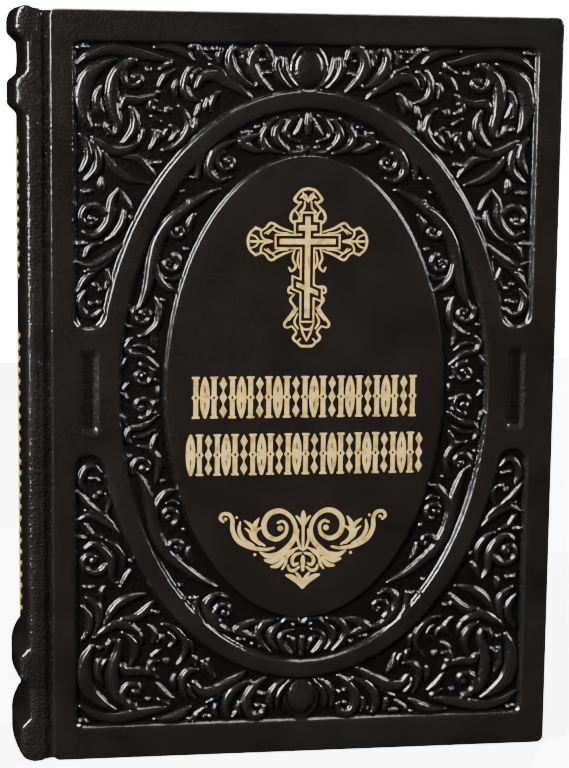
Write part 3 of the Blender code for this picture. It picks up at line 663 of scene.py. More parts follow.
class Stencil:
    """A stamp's shape on a fine raster: more than 0 inside the gold."""

    def __init__(self, low, high, axis=None, step=0.12):
        self.low, self.step, self.axis = low, step, axis
        self.shape = (int((high[0] - low[0]) / step) + 2, int((high[1] - low[1]) / step) + 2)
        self.field = np.full(self.shape, -1.0)

    def window(self, u0, u1, v0, v1):
        i0, i1 = int((u0 - self.low[0]) / self.step) - 1, int((u1 - self.low[0]) / self.step) + 2
        j0, j1 = int((v0 - self.low[1]) / self.step) - 1, int((v1 - self.low[1]) / self.step) + 2
        i0, j0 = max(0, i0), max(0, j0)
        i1, j1 = min(self.shape[0], i1), min(self.shape[1], j1)
        u = self.low[0] + np.arange(i0, i1)[:, None] * self.step
        v = self.low[1] + np.arange(j0, j1)[None, :] * self.step
        return (slice(i0, i1), slice(j0, j1)), u, v

    def put(self, where, inside, gold):
        patch = self.field[where]
        if gold:
            np.maximum(patch, inside, out=patch)
        else:
            np.minimum(patch, -inside, out=patch)

    def strokes(self, strokes, gold=True):
        for stroke in strokes:
            for u, v, radius in smooth_path(stroke, self.step):
                for centre in ((u,) if self.axis is None else (u, 2 * self.axis - u)):
                    reach = radius + 0.5
                    where, us, vs = self.window(centre - reach, centre + reach, v - reach, v + reach)
                    self.put(where, radius - np.sqrt((us - centre) ** 2 + (vs - v) ** 2), gold)

    def bar(self, u0, u1, v0, v1, gold=True, lean=0.0):
        for left, right, tilt in ((u0, u1, lean),) if self.axis is None or lean else (
                (u0, u1, 0.0), (2 * self.axis - u1, 2 * self.axis - u0, 0.0)):
            reach = abs(tilt) * (right - left)
            where, us, vs = self.window(left - 0.6, right + 0.6, v0 - 0.6 - reach, v1 + 0.6 + reach)
            shift = tilt * (us - (left + right) / 2)
            inside = np.minimum(np.minimum(us - left, right - us),
                                np.minimum(vs + shift - v0, v1 - vs - shift))
            self.put(where, np.clip(inside, -0.5, 0.5), gold)

    def lozenge(self, u, v, half_u, half_v, gold=True):
        where, us, vs = self.window(u - half_u - 0.5, u + half_u + 0.5, v - half_v - 0.5, v + half_v + 0.5)
        inside = (1 - np.abs(us - u) / half_u - np.abs(vs - v) / half_v) * min(half_u, half_v) * 0.7
        self.put(where, np.clip(inside, -0.5, 0.5), gold)

    def sheet(self):
        """The outline by marching squares, filled with triangles: (points, triangles)."""
        field = blur(self.field, 1)
        field[[0, -1], :] = -1
        field[:, [0, -1]] = -1
        inside = field > 0
        index, points, edges = {}, [], []

        def crossing(i, j, k, m):
            key = (i, j, k, m)
            if key not in index:
                t = field[i, j] / (field[i, j] - field[k, m])
                index[key] = len(points)
                points.append((self.low[0] + (i + t * (k - i)) * self.step,
                               self.low[1] + (j + t * (m - j)) * self.step))
            return index[key]

        code = (inside[:-1, :-1] * 1 + inside[1:, :-1] * 2 + inside[1:, 1:] * 4 + inside[:-1, 1:] * 8)
        joins = {1: "LB", 2: "BR", 3: "LR", 4: "RT", 5: "LTBR", 6: "BT", 7: "LT", 8: "TL", 9: "TB",
                 10: "BLTR",
                 11: "TR", 12: "RL", 13: "RB", 14: "BL"}
        for i, j in zip(*np.nonzero((code > 0) & (code < 15))):
            i, j = int(i), int(j)
            sides = {"B": (i, j, i + 1, j), "T": (i, j + 1, i + 1, j + 1), "L": (i, j, i, j + 1),
                     "R": (i + 1, j, i + 1, j + 1)}
            letters = joins[int(code[i, j])]
            for k in range(0, len(letters), 2):
                edges.append((crossing(*sides[letters[k]]), crossing(*sides[letters[k + 1]])))
        flat, _, triangles = delaunay_2d_cdt([Vector(p) for p in points], edges, [], 0, 1e-7)[:3]
        flat = np.array([tuple(p) for p in flat])
        triangles = np.array(triangles)
        centre = (flat[triangles].mean(axis=1) - np.array(self.low)) / self.step
        i, j = centre.astype(int).T
        fi, fj = centre[:, 0] - i, centre[:, 1] - j
        level = ((field[i, j] * (1 - fi) + field[i + 1, j] * fi) * (1 - fj)
                 + (field[i, j + 1] * (1 - fi) + field[i + 1, j + 1] * fi) * fj)
        triangles = triangles[level > 0]
        used, local = np.unique(triangles, return_inverse=True)
        return flat[used], local.reshape(triangles.shape)


GOLD_T, GOLD_SINK = 0.09, 0.12       # the gold leaf over the leather, and its base under it


def stamp(name, stencil, place, body, node, material):
    """The stencil's shape as a thin closed leaf of gold. place(u, v, height) gives points in mm."""
    flat, triangles = stencil.sheet()
    count = len(flat)
    top = place(flat[:, 0], flat[:, 1], np.full(count, GOLD_T))
    base = place(flat[:, 0], flat[:, 1], np.full(count, -GOLD_SINK))
    corner = np.concatenate([triangles[:, [0, 1]], triangles[:, [1, 2]], triangles[:, [2, 0]]])
    pairs = {}
    for a, b in corner.tolist():
        if (b, a) in pairs:
            del pairs[(b, a)]
        else:
            pairs[(a, b)] = True
    faces = triangles.tolist() + (triangles[:, ::-1] + count).tolist()
    faces += [(b, a, a + count, b + count) for a, b in pairs]
    piece = make_piece(name, np.vstack([top, base]), faces, material)
    fix_normals(piece)
    piece.data.set_sharp_from_angle(angle=math.radians(40))
    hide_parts(node)
    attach(piece, body)
    return piece


def on_front_cover(u, v, height):
    u, v = MID_U + (u - MID_U) * ORNAMENT, MID_V + (v - MID_V) * ORNAMENT
    return np.stack([COVER_X + u, -(COVER_FACE - MEDALLION_DROP + height), v], -1)


def on_spine(u, v, height):
    """u is across the spine, from -y to +y, and v is up it."""
    outline = spine_outline(200)
    return np.stack([np.interp(u, outline[:, 1], outline[:, 0]) - height, u, v], -1)


CROSS_U, FLOURISH_U = 83.5, 83.2


def cross_stencil():
    """An eight-pointed cross with a second outline, in a spray of leaves."""
    s = Stencil((62, 136), (105, 194), CROSS_U, step=0.10)
    leaves = [
        # arm's palmette
        [(66.2, 177.4, .45), (64.4, 175.7, .55), (63.7, 173, .6), (64.4, 170.3, .55), (66.2, 168.6, .45)],
        [(66.2, 177.4, .7), (67.9, 176.7, .5), (68.0, 175.2, .45), (69.0, 173.8, .4), (71.6, 173.1, .4)],
        [(66.2, 168.6, .7), (67.9, 169.3, .5), (68.0, 170.8, .45), (69.0, 172.2, .4), (71.6, 172.9, .4)],
        [(64.6, 173, .5), (67.6, 173, .55), (71.8, 173, .35)],
        [(64.5, 175.2, .3), (66.2, 174.6, .4), (67.3, 173.3, .3)],
        [(64.5, 170.8, .3), (66.2, 171.4, .4), (67.3, 172.7, .3)],
        [(67.9, 176.4, .35), (69.6, 177.4, .45), (71.4, 179.0, .55), (74.6, 177.4, .5), (78.4, 176.1, .3)],
        [(69.2, 175.6, .3), (71.6, 176.9, .4), (73.8, 176.0, .35), (77.0, 175.6, .3)],
        [(67.9, 169.6, .35), (69.6, 168.6, .45), (71.4, 166.9, .55), (74.6, 168.5, .5), (78.4, 169.9, .3)],
        [(69.2, 170.4, .3), (71.6, 169.1, .4), (73.8, 170.0, .35), (77.0, 170.3, .3)],
        # crown
        [(83.5, 190.3, .6), (81.3, 189.7, .6), (79.7, 188.1, .5)],
        [(79.7, 188.1, .5), (79.0, 186.7, .7), (80.2, 185.7, .5), (81.2, 185.9, .35)],
        [(80.9, 187.3, .35), (82.4, 188.2, .5), (83.5, 186, .4)],
        [(81.2, 185.9, .4), (80.0, 184.4, .5), (78.2, 182.4, .6), (77.8, 180.2, .6), (79.2, 178.6, .4)],
        [(79.4, 183.0, .3), (80.6, 181.0, .45), (80.1, 179.2, .3)],
        [(82.4, 186.0, .3), (82.2, 184.0, .5), (80.6, 182.4, .3)],
        # curls beside the stem
        [(79.2, 170.2, .35), (78.6, 167.4, .5), (79.6, 164.8, .55), (78.2, 163.2, .5), (77.4, 164.4, .4)],
        [(80.6, 169.6, .3), (80.2, 166.6, .45), (80.8, 164.2, .35)],
        [(79.4, 158.2, .35), (77.6, 157.8, .6), (77.3, 156.3, .45), (78.4, 155.9, .4)],
        [(79.2, 155.6, .35), (77.9, 153.8, .55), (78.9, 152.1, .5), (79.6, 150.4, .35)],
        # foot
        [(79.7, 151.5, .35), (78.2, 148.8, .6), (76.1, 146.0, .6), (76.6, 144.6, .4), (78.6, 145.0, .35)],
        [(80.4, 149.2, .3), (79.4, 146.4, .5), (80.6, 144.2, .4)],
        [(78.6, 145.0, .35), (80.0, 143.0, .5), (79.0, 141.2, .6), (80.2, 139.8, .5), (81.4, 140.8, .35)],
        [(80.2, 139.8, .4), (81.6, 138.5, .6), (83.5, 138.3, .6)],
        [(81.6, 144.6, .35), (82.4, 142.4, .5), (83.5, 140.2, .4)],
        [(81.2, 145.8, .3), (82.2, 144.2, .5), (83.5, 143.9, .5)],
        # fine lines inside the leaves
        [(70.2, 175.4, .3), (73.0, 178.0, .3), (75.8, 176.8, .3)],
        [(70.2, 170.6, .3), (73.0, 168.0, .3), (75.8, 169.2, .3)],
        [(81.8, 189.0, .3), (81.9, 187.4, .4), (82.8, 186.4, .3)],
        [(77.6, 147.0, .3), (79.2, 149.0, .35), (80.4, 151.0, .3)],
    ]
    s.strokes([[(u, v, r * 0.66) for u, v, r in leaf] for leaf in leaves])
    # outline band, then the dark gap, then the cross itself
    for grow, gold in ((1.62, True), (1.08, False)):
        s.bar(82.65 - grow, 83.6, 147.8 - grow, 181.1 + grow, gold)
        s.bar(80.5 - grow, 83.6, 176.6 - grow, 178.3 + grow, gold)
        s.bar(74.2 - grow, 83.6, 172.1 - grow, 173.8 + grow, gold)
        s.bar(79.9 - grow, 87.1 + grow, 156.6 - grow, 158.2 + grow, gold, lean=0.42)
    s.bar(82.65, 83.6, 147.8, 181.1)
    s.bar(80.5, 83.6, 176.6, 178.3)
    s.bar(74.2, 83.6, 172.1, 173.8)
    s.bar(79.9, 87.1, 156.6, 158.2, lean=0.42)
    return s


def flourish_stencil():
    """Two scrolls with leaves about a middle bud."""
    s = Stencil((54, 54), (112.5, 86), FLOURISH_U)
    strokes = [
        # scroll that rises from the foot leaves
        [(74.4, 68.2, .6), (77.4, 70.0, 1.0), (80.0, 73.2, .95), (80.6, 77.2, .8), (78.8, 81.0, .75),
         (75.2, 83.0, .9),
         (71.6, 81.8, 1.0), (69.9, 78.6, 1.0), (70.8, 75.0, .95), (74.0, 73.3, .85), (77.0, 74.9, .7),
         (77.6, 77.8, .6),
         (76.2, 79.4, .5), (74.6, 78.9, .45)],
        [(75.4, 77.0, 1.05), (75.45, 77.0, 1.05)],
        # middle bud on its stem
        [(83.2, 82.6, .45), (83.2, 80.8, .95), (83.2, 77.0, .55), (83.2, 69.4, .45)],
        [(80.9, 81.0, .35), (82.1, 79.6, .6), (83.2, 77.4, .4)],
        [(81.6, 76.4, .3), (81.3, 73.2, .5), (82.4, 69.8, .4)],
        # wing
        [(56.2, 79.6, .45), (55.2, 80.8, .55), (56.2, 82.3, .6), (58.3, 81.9, .7), (59.3, 79.9, .75),
         (59.4, 76.6, .85),
         (61.4, 73.0, .9), (65.8, 70.6, .8), (70.6, 69.9, .6), (73.4, 70.4, .4)],
        [(57.0, 80.5, .6), (57.05, 80.5, .6)],
        [(61.9, 79.4, .3), (61.6, 76.4, .7), (63.2, 73.4, .65), (66.6, 71.4, .3)],
        [(60.7, 81.0, .5), (60.75, 81.0, .5)],
        # pointed leaf with three tips
        [(68.2, 80.6, .3), (66.9, 78.4, .9), (66.4, 75.6, 1.05), (67.6, 72.9, .7), (70.2, 71.2, .35)],
        [(63.4, 79.8, .3), (65.4, 78.2, .7), (66.6, 76.4, .7)],
        [(69.0, 77.4, .25), (67.7, 76.6, .55), (66.8, 75.4, .6)],
        [(63.6, 77.2, .25), (65.0, 76.0, .5), (66.0, 73.8, .5), (68.6, 71.5, .3)],
        # foot leaves
        [(66.9, 68.2, .55), (66.95, 68.2, .55)],
        [(68.6, 69.0, .3), (71.4, 67.6, .95), (75.2, 68.0, 1.1), (79.4, 69.2, .6), (82.2, 70.6, .3)],
        [(70.4, 66.2, .45), (73.0, 65.8, .95), (76.0, 67.4, .7)],
        [(72.6, 63.9, .45), (74.8, 64.4, .9), (76.8, 66.6, .6)],
        [(76.2, 63.0, .35), (77.2, 64.6, .55), (77.9, 67.2, .6), (80.0, 69.0, .4)],
        # curls about the lowest bud
        [(82.6, 68.4, .4), (80.6, 67.8, .6), (79.5, 66.0, .65), (80.2, 64.4, .6), (81.5, 64.8, .45)],
        [(81.9, 63.6, .4), (80.2, 62.4, .6), (78.6, 62.9, .55), (78.2, 64.2, .4)],
        [(83.2, 67.2, .5), (83.2, 65.4, .85), (83.2, 61.6, .4)],
        [(77.6, 60.9, .35), (79.4, 60.2, .95), (81.6, 58.6, .95), (83.2, 56.4, .45)],
        [(81.0, 61.6, .35), (82.0, 60.2, .7), (83.2, 58.4, .6)],
    ]
    s.strokes([[(u, v, 0.85 * r) for u, v, r in stroke] for stroke in strokes])
    s.strokes([[(83.2, 61.9, .35), (83.2, 60.7, .35)]], gold=False)
    return s


def frieze(stencil, u0, u1, v0, v1, count, first):
    """A row of upright bars, slit spindles and lozenge chains, with dashes at head and foot."""
    pitch = (u1 - u0) / count
    middle, height = (v0 + v1) / 2, v1 - v0
    for k in range(count):
        u = u0 + (k + 0.5) * pitch
        kind = (k + first) % 4
        if kind in (0, 2):
            stencil.bar(u - 0.25 * pitch, u + 0.25 * pitch, v0 + 0.3, v1 - 0.3)
            stencil.bar(u - 0.42 * pitch, u + 0.42 * pitch, v0, v0 + 0.65)
            stencil.bar(u - 0.42 * pitch, u + 0.42 * pitch, v1 - 0.65, v1)
            stencil.lozenge(u, middle, 0.46 * pitch, 1.9)
            stencil.lozenge(u, middle, 0.15 * pitch, 0.75, gold=False)
        elif kind == 1:
            for hand in (-1, 1):
                stencil.strokes([[(u, v1 - 0.5, .5), (u + hand * 0.25 * pitch, middle + 0.25 * height, .58),
                                  (u + hand * 0.31 * pitch, middle, .62),
                                  (u + hand * 0.25 * pitch, middle - 0.25 * height, .58), (u, v0 + 0.5, .5)]])
            stencil.lozenge(u, middle, 0.13 * pitch, 2.2)
        else:
            for part in (-1, 0, 1):
                stencil.lozenge(u, middle + part * height / 3.05, 0.40 * pitch, height / 6.0)
            stencil.bar(u - 0.07 * pitch, u + 0.07 * pitch, v0 + 1.2, v1 - 1.2)


def upper_band_stencil():
    s = Stencil((43, 112), (124, 131))
    frieze(s, 45.3, 121.2, 114.5, 128.4, 25, 0)
    return s


def lower_band_stencil():
    s = Stencil((42, 93), (126, 111.5))
    frieze(s, 43.7, 123.7, 95.3, 109.2, 27, 1)
    return s


def spine_stencil(low, high, count):
    """A frieze up the spine between two small lozenge rows."""
    s = Stencil((-14, low - 2), (14, high + 2), step=0.16)
    turned = Stencil((low - 2, -14), (high + 2, 14), step=0.16)
    frieze(turned, low, high, -5.2, 5.2, count, 0)
    for k in range(count):
        u = low + (k + 0.5) * (high - low) / count
        turned.lozenge(u, 8.4, 1.1, 1.1)
        turned.lozenge(u, -8.4, 1.1, 1.1)
    s.field = turned.field.T.copy()
    s.shape = s.field.shape
    return s


# ------------------------------------------------------------------ text block

def tree_input(tree, name, kind, default):
    socket = tree.interface.new_socket(name, in_out="INPUT", socket_type=kind)
    if default is not None:
        socket.default_value = default
    return socket


def leaf_stack_tree():
    """Geometry Nodes: leaves of a section stacked beside its fold."""
    tree = bpy.data.node_groups.new("leaf_stack", "GeometryNodeTree")
    tree.interface.new_socket("Geometry", in_out="INPUT", socket_type="NodeSocketGeometry")
    tree.interface.new_socket("Geometry", in_out="OUTPUT", socket_type="NodeSocketGeometry")
    for name, kind, default in (("Leaf Count", "NodeSocketInt", 15),
                                ("Leaf Pitch", "NodeSocketFloat", 0.000167),
                                ("Leaf Size", "NodeSocketVector", None),
                                ("First Leaf", "NodeSocketVector", None),
                                ("Unevenness", "NodeSocketFloat", 0.002), ("Seed", "NodeSocketInt", 1),
                                ("Paper", "NodeSocketMaterial", None)):
        tree_input(tree, name, kind, default)
    n, link = tree.nodes, tree.links
    given = n.new("NodeGroupInput").outputs
    out = n.new("NodeGroupOutput").inputs
    step = n.new("ShaderNodeCombineXYZ")
    link.new(given["Leaf Pitch"], step.inputs["Y"])
    line = n.new("GeometryNodeMeshLine")
    link.new(given["Leaf Count"], line.inputs["Count"])
    link.new(given["First Leaf"], line.inputs["Start Location"])
    link.new(step.outputs["Vector"], line.inputs["Offset"])
    leaf = n.new("GeometryNodeMeshCube")
    link.new(given["Leaf Size"], leaf.inputs["Size"])
    half = n.new("ShaderNodeVectorMath")
    half.operation = "MULTIPLY"
    half.inputs[1].default_value = (0.5, 0, 0)
    link.new(given["Leaf Size"], half.inputs[0])
    shifted = n.new("GeometryNodeTransform")
    link.new(leaf.outputs["Mesh"], shifted.inputs["Geometry"])
    link.new(half.outputs["Vector"], shifted.inputs["Translation"])
    least = n.new("ShaderNodeMath")
    least.operation = "SUBTRACT"
    least.inputs[0].default_value = 1.0
    link.new(given["Unevenness"], least.inputs[1])
    low = n.new("ShaderNodeCombineXYZ")
    low.inputs["Y"].default_value = 1.0
    link.new(least.outputs[0], low.inputs["X"])
    link.new(least.outputs[0], low.inputs["Z"])
    trim = n.new("FunctionNodeRandomValue")
    trim.data_type = "FLOAT_VECTOR"
    link.new(low.outputs["Vector"], trim.inputs["Min"])
    trim.inputs["Max"].default_value = (1, 1, 1)
    link.new(given["Seed"], trim.inputs["Seed"])
    stack = n.new("GeometryNodeInstanceOnPoints")
    link.new(line.outputs["Mesh"], stack.inputs["Points"])
    link.new(shifted.outputs["Geometry"], stack.inputs["Instance"])
    link.new(trim.outputs["Value"], stack.inputs["Scale"])
    join = n.new("GeometryNodeJoinGeometry")
    link.new(stack.outputs["Instances"], join.inputs["Geometry"])
    link.new(given["Geometry"], join.inputs["Geometry"])
    realize = n.new("GeometryNodeRealizeInstances")
    link.new(join.outputs["Geometry"], realize.inputs["Geometry"])
    coat = n.new("GeometryNodeSetMaterial")
    link.new(realize.outputs["Geometry"], coat.inputs["Geometry"])
    link.new(given["Paper"], coat.inputs["Material"])
    link.new(coat.outputs["Geometry"], out["Geometry"])
    return tree


def grow(name, base, tree, values):
    """The tree's result on a base mesh, with named inputs set, as a plain mesh object."""
    seed = bpy.data.objects.new(name + "_seed", base)
    bpy.context.scene.collection.objects.link(seed)
    modifier = seed.modifiers.new("grow", "NODES")
    modifier.node_group = tree
    for item in tree.interface.items_tree:
        if item.item_type == "SOCKET" and item.in_out == "INPUT" and item.name in values:
            modifier[item.identifier] = values[item.name]
    bpy.context.view_layer.update()
    evaluated = seed.evaluated_get(bpy.context.evaluated_depsgraph_get())
    mesh = bpy.data.meshes.new_from_object(evaluated)
    bpy.data.objects.remove(seed)
    piece = bpy.data.objects.new(name, mesh)
    bpy.context.scene.collection.objects.link(piece)
    return piece


def fold_mesh(x, y, low, high, radius):
    """The rounded fold of a section, as a closed half round in millimetres."""
    mesh = bmesh.new()
    rows = []
    for z in (low, high):
        ring = [mesh.verts.new(((x + radius - radius * math.sin(math.pi * k / 12)) * MM,
                                (y - radius * math.cos(math.pi * k / 12)) * MM, z * MM)) for k in range(13)]
        rows.append(ring)
    for k in range(13):
        m = (k + 1) % 13
        mesh.faces.new((rows[0][k], rows[0][m], rows[1][m], rows[1][k]))
    mesh.faces.new(rows[0][::-1])
    mesh.faces.new(rows[1])
    bmesh.ops.recalc_face_normals(mesh, faces=mesh.faces[:])
    out = bpy.data.meshes.new("fold")
    mesh.to_mesh(out)
    mesh.free()
    return out


SECTIONS, SECTION_LEAVES = 12, 15
LEAF_PITCH, LEAF_T = 0.167, 0.135
FOLD_RADIUS = 1.22


def text_block(page):
    tree = leaf_stack_tree()
    for number in range(1, SECTIONS + 1):
        node = f"section_{number:02d}"
        low, high = box_mm(node)
        middle = (low[1] + high[1]) / 2
        fore = high[0] + 0.35 * (low[0] + 80.4)
        start = low[0] + 0.9
        values = {"Leaf Count": SECTION_LEAVES, "Leaf Pitch": LEAF_PITCH * MM, "Unevenness": 0.0016,
                  "Seed": number,
                  "Leaf Size": ((fore - start) * MM, LEAF_T * MM, (high[2] - low[2]) * MM),
                  "First Leaf": (start * MM, (middle - SECTION_LEAVES // 2 * LEAF_PITCH) * MM,
                                 (low[2] + high[2]) / 2 * MM), "Paper": page}
        piece = grow(f"{node}_leaves", fold_mesh(low[0], middle, low[2] + 0.1, high[2] - 0.1, FOLD_RADIUS),
                     tree, values)
        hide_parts(node)
        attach(piece, node)


# ------------------------------------------------------------------ head and tail bands

def wrap_tree():
    """Geometry Nodes: turns of silk thread, side by side along a path."""
    tree = bpy.data.node_groups.new("silk_wraps", "GeometryNodeTree")
    tree.interface.new_socket("Geometry", in_out="INPUT", socket_type="NodeSocketGeometry")
    tree.interface.new_socket("Geometry", in_out="OUTPUT", socket_type="NodeSocketGeometry")
    for name, kind, default in (("Thread Radius", "NodeSocketFloat", 0.0003),
                                ("Core Radius", "NodeSocketFloat", 0.0008),
                                ("Spacing", "NodeSocketFloat", 0.001), ("Silk", "NodeSocketMaterial", None)):
        tree_input(tree, name, kind, default)
    n, link = tree.nodes, tree.links
    given = n.new("NodeGroupInput").outputs
    out = n.new("NodeGroupOutput").inputs
    path = n.new("GeometryNodeMeshToCurve")
    link.new(given["Geometry"], path.inputs["Mesh"])
    points = n.new("GeometryNodeCurveToPoints")
    points.mode = "LENGTH"
    link.new(path.outputs["Curve"], points.inputs["Curve"])
    link.new(given["Spacing"], points.inputs["Length"])
    ring = n.new("GeometryNodeCurvePrimitiveCircle")
    ring.inputs["Resolution"].default_value = 16
    link.new(given["Core Radius"], ring.inputs["Radius"])
    section = n.new("GeometryNodeCurvePrimitiveCircle")
    section.inputs["Resolution"].default_value = 8
    link.new(given["Thread Radius"], section.inputs["Radius"])
    thread = n.new("GeometryNodeCurveToMesh")
    link.new(ring.outputs["Curve"], thread.inputs["Curve"])
    link.new(section.outputs["Curve"], thread.inputs["Profile Curve"])
    turns = n.new("GeometryNodeInstanceOnPoints")
    link.new(points.outputs["Points"], turns.inputs["Points"])
    link.new(thread.outputs["Mesh"], turns.inputs["Instance"])
    link.new(points.outputs["Rotation"], turns.inputs["Rotation"])
    realize = n.new("GeometryNodeRealizeInstances")
    link.new(turns.outputs["Instances"], realize.inputs["Geometry"])
    smooth = n.new("GeometryNodeSetShadeSmooth")
    link.new(realize.outputs["Geometry"], smooth.inputs["Geometry"])
    coat = n.new("GeometryNodeSetMaterial")
    link.new(smooth.outputs["Geometry"], coat.inputs["Geometry"])
    link.new(given["Silk"], coat.inputs["Material"])
    link.new(coat.outputs["Geometry"], out["Geometry"])
    return tree


def band_path(node, shift):
    """A polyline through the middle of a head band, following the round of the block."""
    low, high = box_mm(node)
    middle = (low[2] + high[2]) / 2
    mesh = bpy.data.meshes.new("band_path")
    points = []
    for k in range(41):
        y = low[1] + 0.4 + shift + (high[1] - low[1] - 0.8 - shift) * k / 40
        x = high[0] - 1.2 - (high[0] - low[0] - 2.3) * (1 - (y / 16.8) ** 2)
        points.append((x * MM, y * MM, middle * MM))
    mesh.from_pydata(points, [(k, k + 1) for k in range(40)], [])
    return mesh


def head_bands(light_silk, dark_silk):
    tree = wrap_tree()
    for node in ("headband", "tailband"):
        for name, silk, shift, core in (("light", light_silk, 0.0, 0.72), ("dark", dark_silk, 0.52, 0.68)):
            piece = grow(f"{node}_{name}_silk", band_path(node, shift), tree,
                         {"Thread Radius": 0.29 * MM, "Core Radius": core * MM, "Spacing": 1.04 * MM,
                          "Silk": silk})
            if name == "light":
                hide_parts(node)
            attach(piece, "spine")


# ------------------------------------------------------------------ materials

def new_material(name):
    material = bpy.data.materials.new(name)
    material.use_nodes = True
    nodes = material.node_tree.nodes
    return material, nodes, material.node_tree.links, nodes["Principled BSDF"]


def object_coordinates(nodes, links, scale=1000.0, stretch=(1, 1, 1)):
    """Object coordinates in millimetres, times stretch."""
    where = nodes.new("ShaderNodeTexCoord")
    mapping = nodes.new("ShaderNodeMapping")
    mapping.inputs["Scale"].default_value = [scale * s for s in stretch]
    links.new(where.outputs["Object"], mapping.inputs["Vector"])
    return mapping.outputs["Vector"]


def noise(nodes, links, vector, scale, detail=3.0, roughness=0.5, distortion=0.0):
    node = nodes.new("ShaderNodeTexNoise")
    node.inputs["Scale"].default_value = scale
    node.inputs["Detail"].default_value = detail
    node.inputs["Roughness"].default_value = roughness
    node.inputs["Distortion"].default_value = distortion
    links.new(vector, node.inputs["Vector"])
    return node.outputs["Fac"]


def ramp(nodes, links, value, stops):
    """A colour ramp from (position, colour) stops."""
    node = nodes.new("ShaderNodeValToRGB")
    elements = node.color_ramp.elements
    while len(elements) < len(stops):
        elements.new(0.5)
    for element, (position, colour) in zip(elements, stops):
        element.position = position
        element.color = (*colour, 1.0) if len(colour) == 3 else colour
    links.new(value, node.inputs["Fac"])
    return node.outputs["Color"]


def spread(nodes, links, value, low, high):
    node = nodes.new("ShaderNodeMapRange")
    node.inputs["To Min"].default_value = low
    node.inputs["To Max"].default_value = high
    links.new(value, node.inputs["Value"])
    return node.outputs["Result"]


def bump(nodes, links, height, distance_mm, strength=1.0, under=None):
    node = nodes.new("ShaderNodeBump")
    node.inputs["Distance"].default_value = distance_mm * MM
    node.inputs["Strength"].default_value = strength
    links.new(height, node.inputs["Height"])
    if under is not None:
        links.new(under, node.inputs["Normal"])
    return node.outputs["Normal"]


def leather_grain(nodes, links, vector, pebble, crease, wrinkle):
    """Grain of calfskin: pebbles with creases between them, over long shallow wrinkles."""
    cells = nodes.new("ShaderNodeTexVoronoi")
    cells.feature = "SMOOTH_F1"
    cells.inputs["Scale"].default_value = 1.25
    cells.inputs["Smoothness"].default_value = 0.35
    links.new(vector, cells.inputs["Vector"])
    pores = noise(nodes, links, vector, 3.2, 2.0, 0.6)
    folds = noise(nodes, links, vector, 0.16, 4.0, 0.62, 1.2)
    lengthwise = nodes.new("ShaderNodeMapping")
    lengthwise.inputs["Scale"].default_value = (0.16, 0.16, 0.9)
    links.new(vector, lengthwise.inputs["Vector"])
    rays = noise(nodes, links, lengthwise.outputs["Vector"], 1.0, 5.0, 0.6, 0.8)
    first = bump(nodes, links, rays, 0.8 * wrinkle, under=bump(nodes, links, folds, wrinkle))
    second = bump(nodes, links, cells.outputs["Distance"], -pebble, under=first)
    return bump(nodes, links, pores, crease, under=second)


def black_leather(name, pebble=0.055, crease=0.02, wrinkle=0.25, stretch=(1, 1, 1), paint_recess_shade=True):
    material, nodes, links, shader = new_material(name)
    vector = object_coordinates(nodes, links, stretch=stretch)
    tone = noise(nodes, links, vector, 0.05, 4.0, 0.6)
    colour = ramp(nodes, links, tone, [(0.3, (0.0022, 0.0017, 0.0013)), (0.7, (0.0042, 0.0033, 0.0027))])
    # painted shade: the sunk ground of the embossing is mixed towards a darker colour by its relief height,
    # darkest at the bottom of the panels
    if paint_recess_shade:
        height = nodes.new("ShaderNodeAttribute")
        height.attribute_name = "relief"
        recess_shaded = nodes.new("ShaderNodeMix")
        recess_shaded.data_type = "RGBA"
        recess_shaded.inputs["B"].default_value = (0.0012, 0.0010, 0.0008, 1)
        flip = nodes.new("ShaderNodeMath")
        flip.operation = "MULTIPLY"
        flip.inputs[1].default_value = -1.0
        links.new(height.outputs["Fac"], flip.inputs[0])
        sunk = ramp(nodes, links, flip.outputs[0], [(0.25, (0, 0, 0)), (0.95, (1, 1, 1))])
        links.new(sunk, recess_shaded.inputs["Factor"])
        links.new(colour, recess_shaded.inputs["A"])
        colour = recess_shaded.outputs["Result"]
    links.new(colour, shader.inputs["Base Color"])
    gloss = noise(nodes, links, vector, 0.35, 3.0, 0.6)
    links.new(spread(nodes, links, gloss, 0.36, 0.52), shader.inputs["Roughness"])
    shader.inputs["Specular IOR Level"].default_value = 0.05
    shader.inputs["Coat Weight"].default_value = 0.85
    shader.inputs["Coat Roughness"].default_value = 0.07
    shader.inputs["Coat IOR"].default_value = 1.5
    links.new(leather_grain(nodes, links, vector, 3 * pebble, 2 * crease, wrinkle), shader.inputs["Normal"])
    links.new(leather_grain(nodes, links, vector, 0.3 * pebble, 0.4 * crease, 0.45 * wrinkle),
              shader.inputs["Coat Normal"])
    return material


def gold_foil(name):
    material, nodes, links, shader = new_material(name)
    vector = object_coordinates(nodes, links)
    tone = noise(nodes, links, vector, 0.35, 5.0, 0.65)
    colour = ramp(nodes, links, tone, [(0.34, (0.44, 0.26, 0.07)), (0.48, (0.82, 0.57, 0.18)),
                                       (0.75, (0.98, 0.74, 0.27))])
    links.new(colour, shader.inputs["Base Color"])
    shader.inputs["Metallic"].default_value = 0.85
    gloss = noise(nodes, links, vector, 1.5, 3.0, 0.6)
    links.new(spread(nodes, links, gloss, 0.36, 0.55), shader.inputs["Roughness"])
    links.new(leather_grain(nodes, links, vector, 0.03, 0.02, 0.1), shader.inputs["Normal"])
    return material


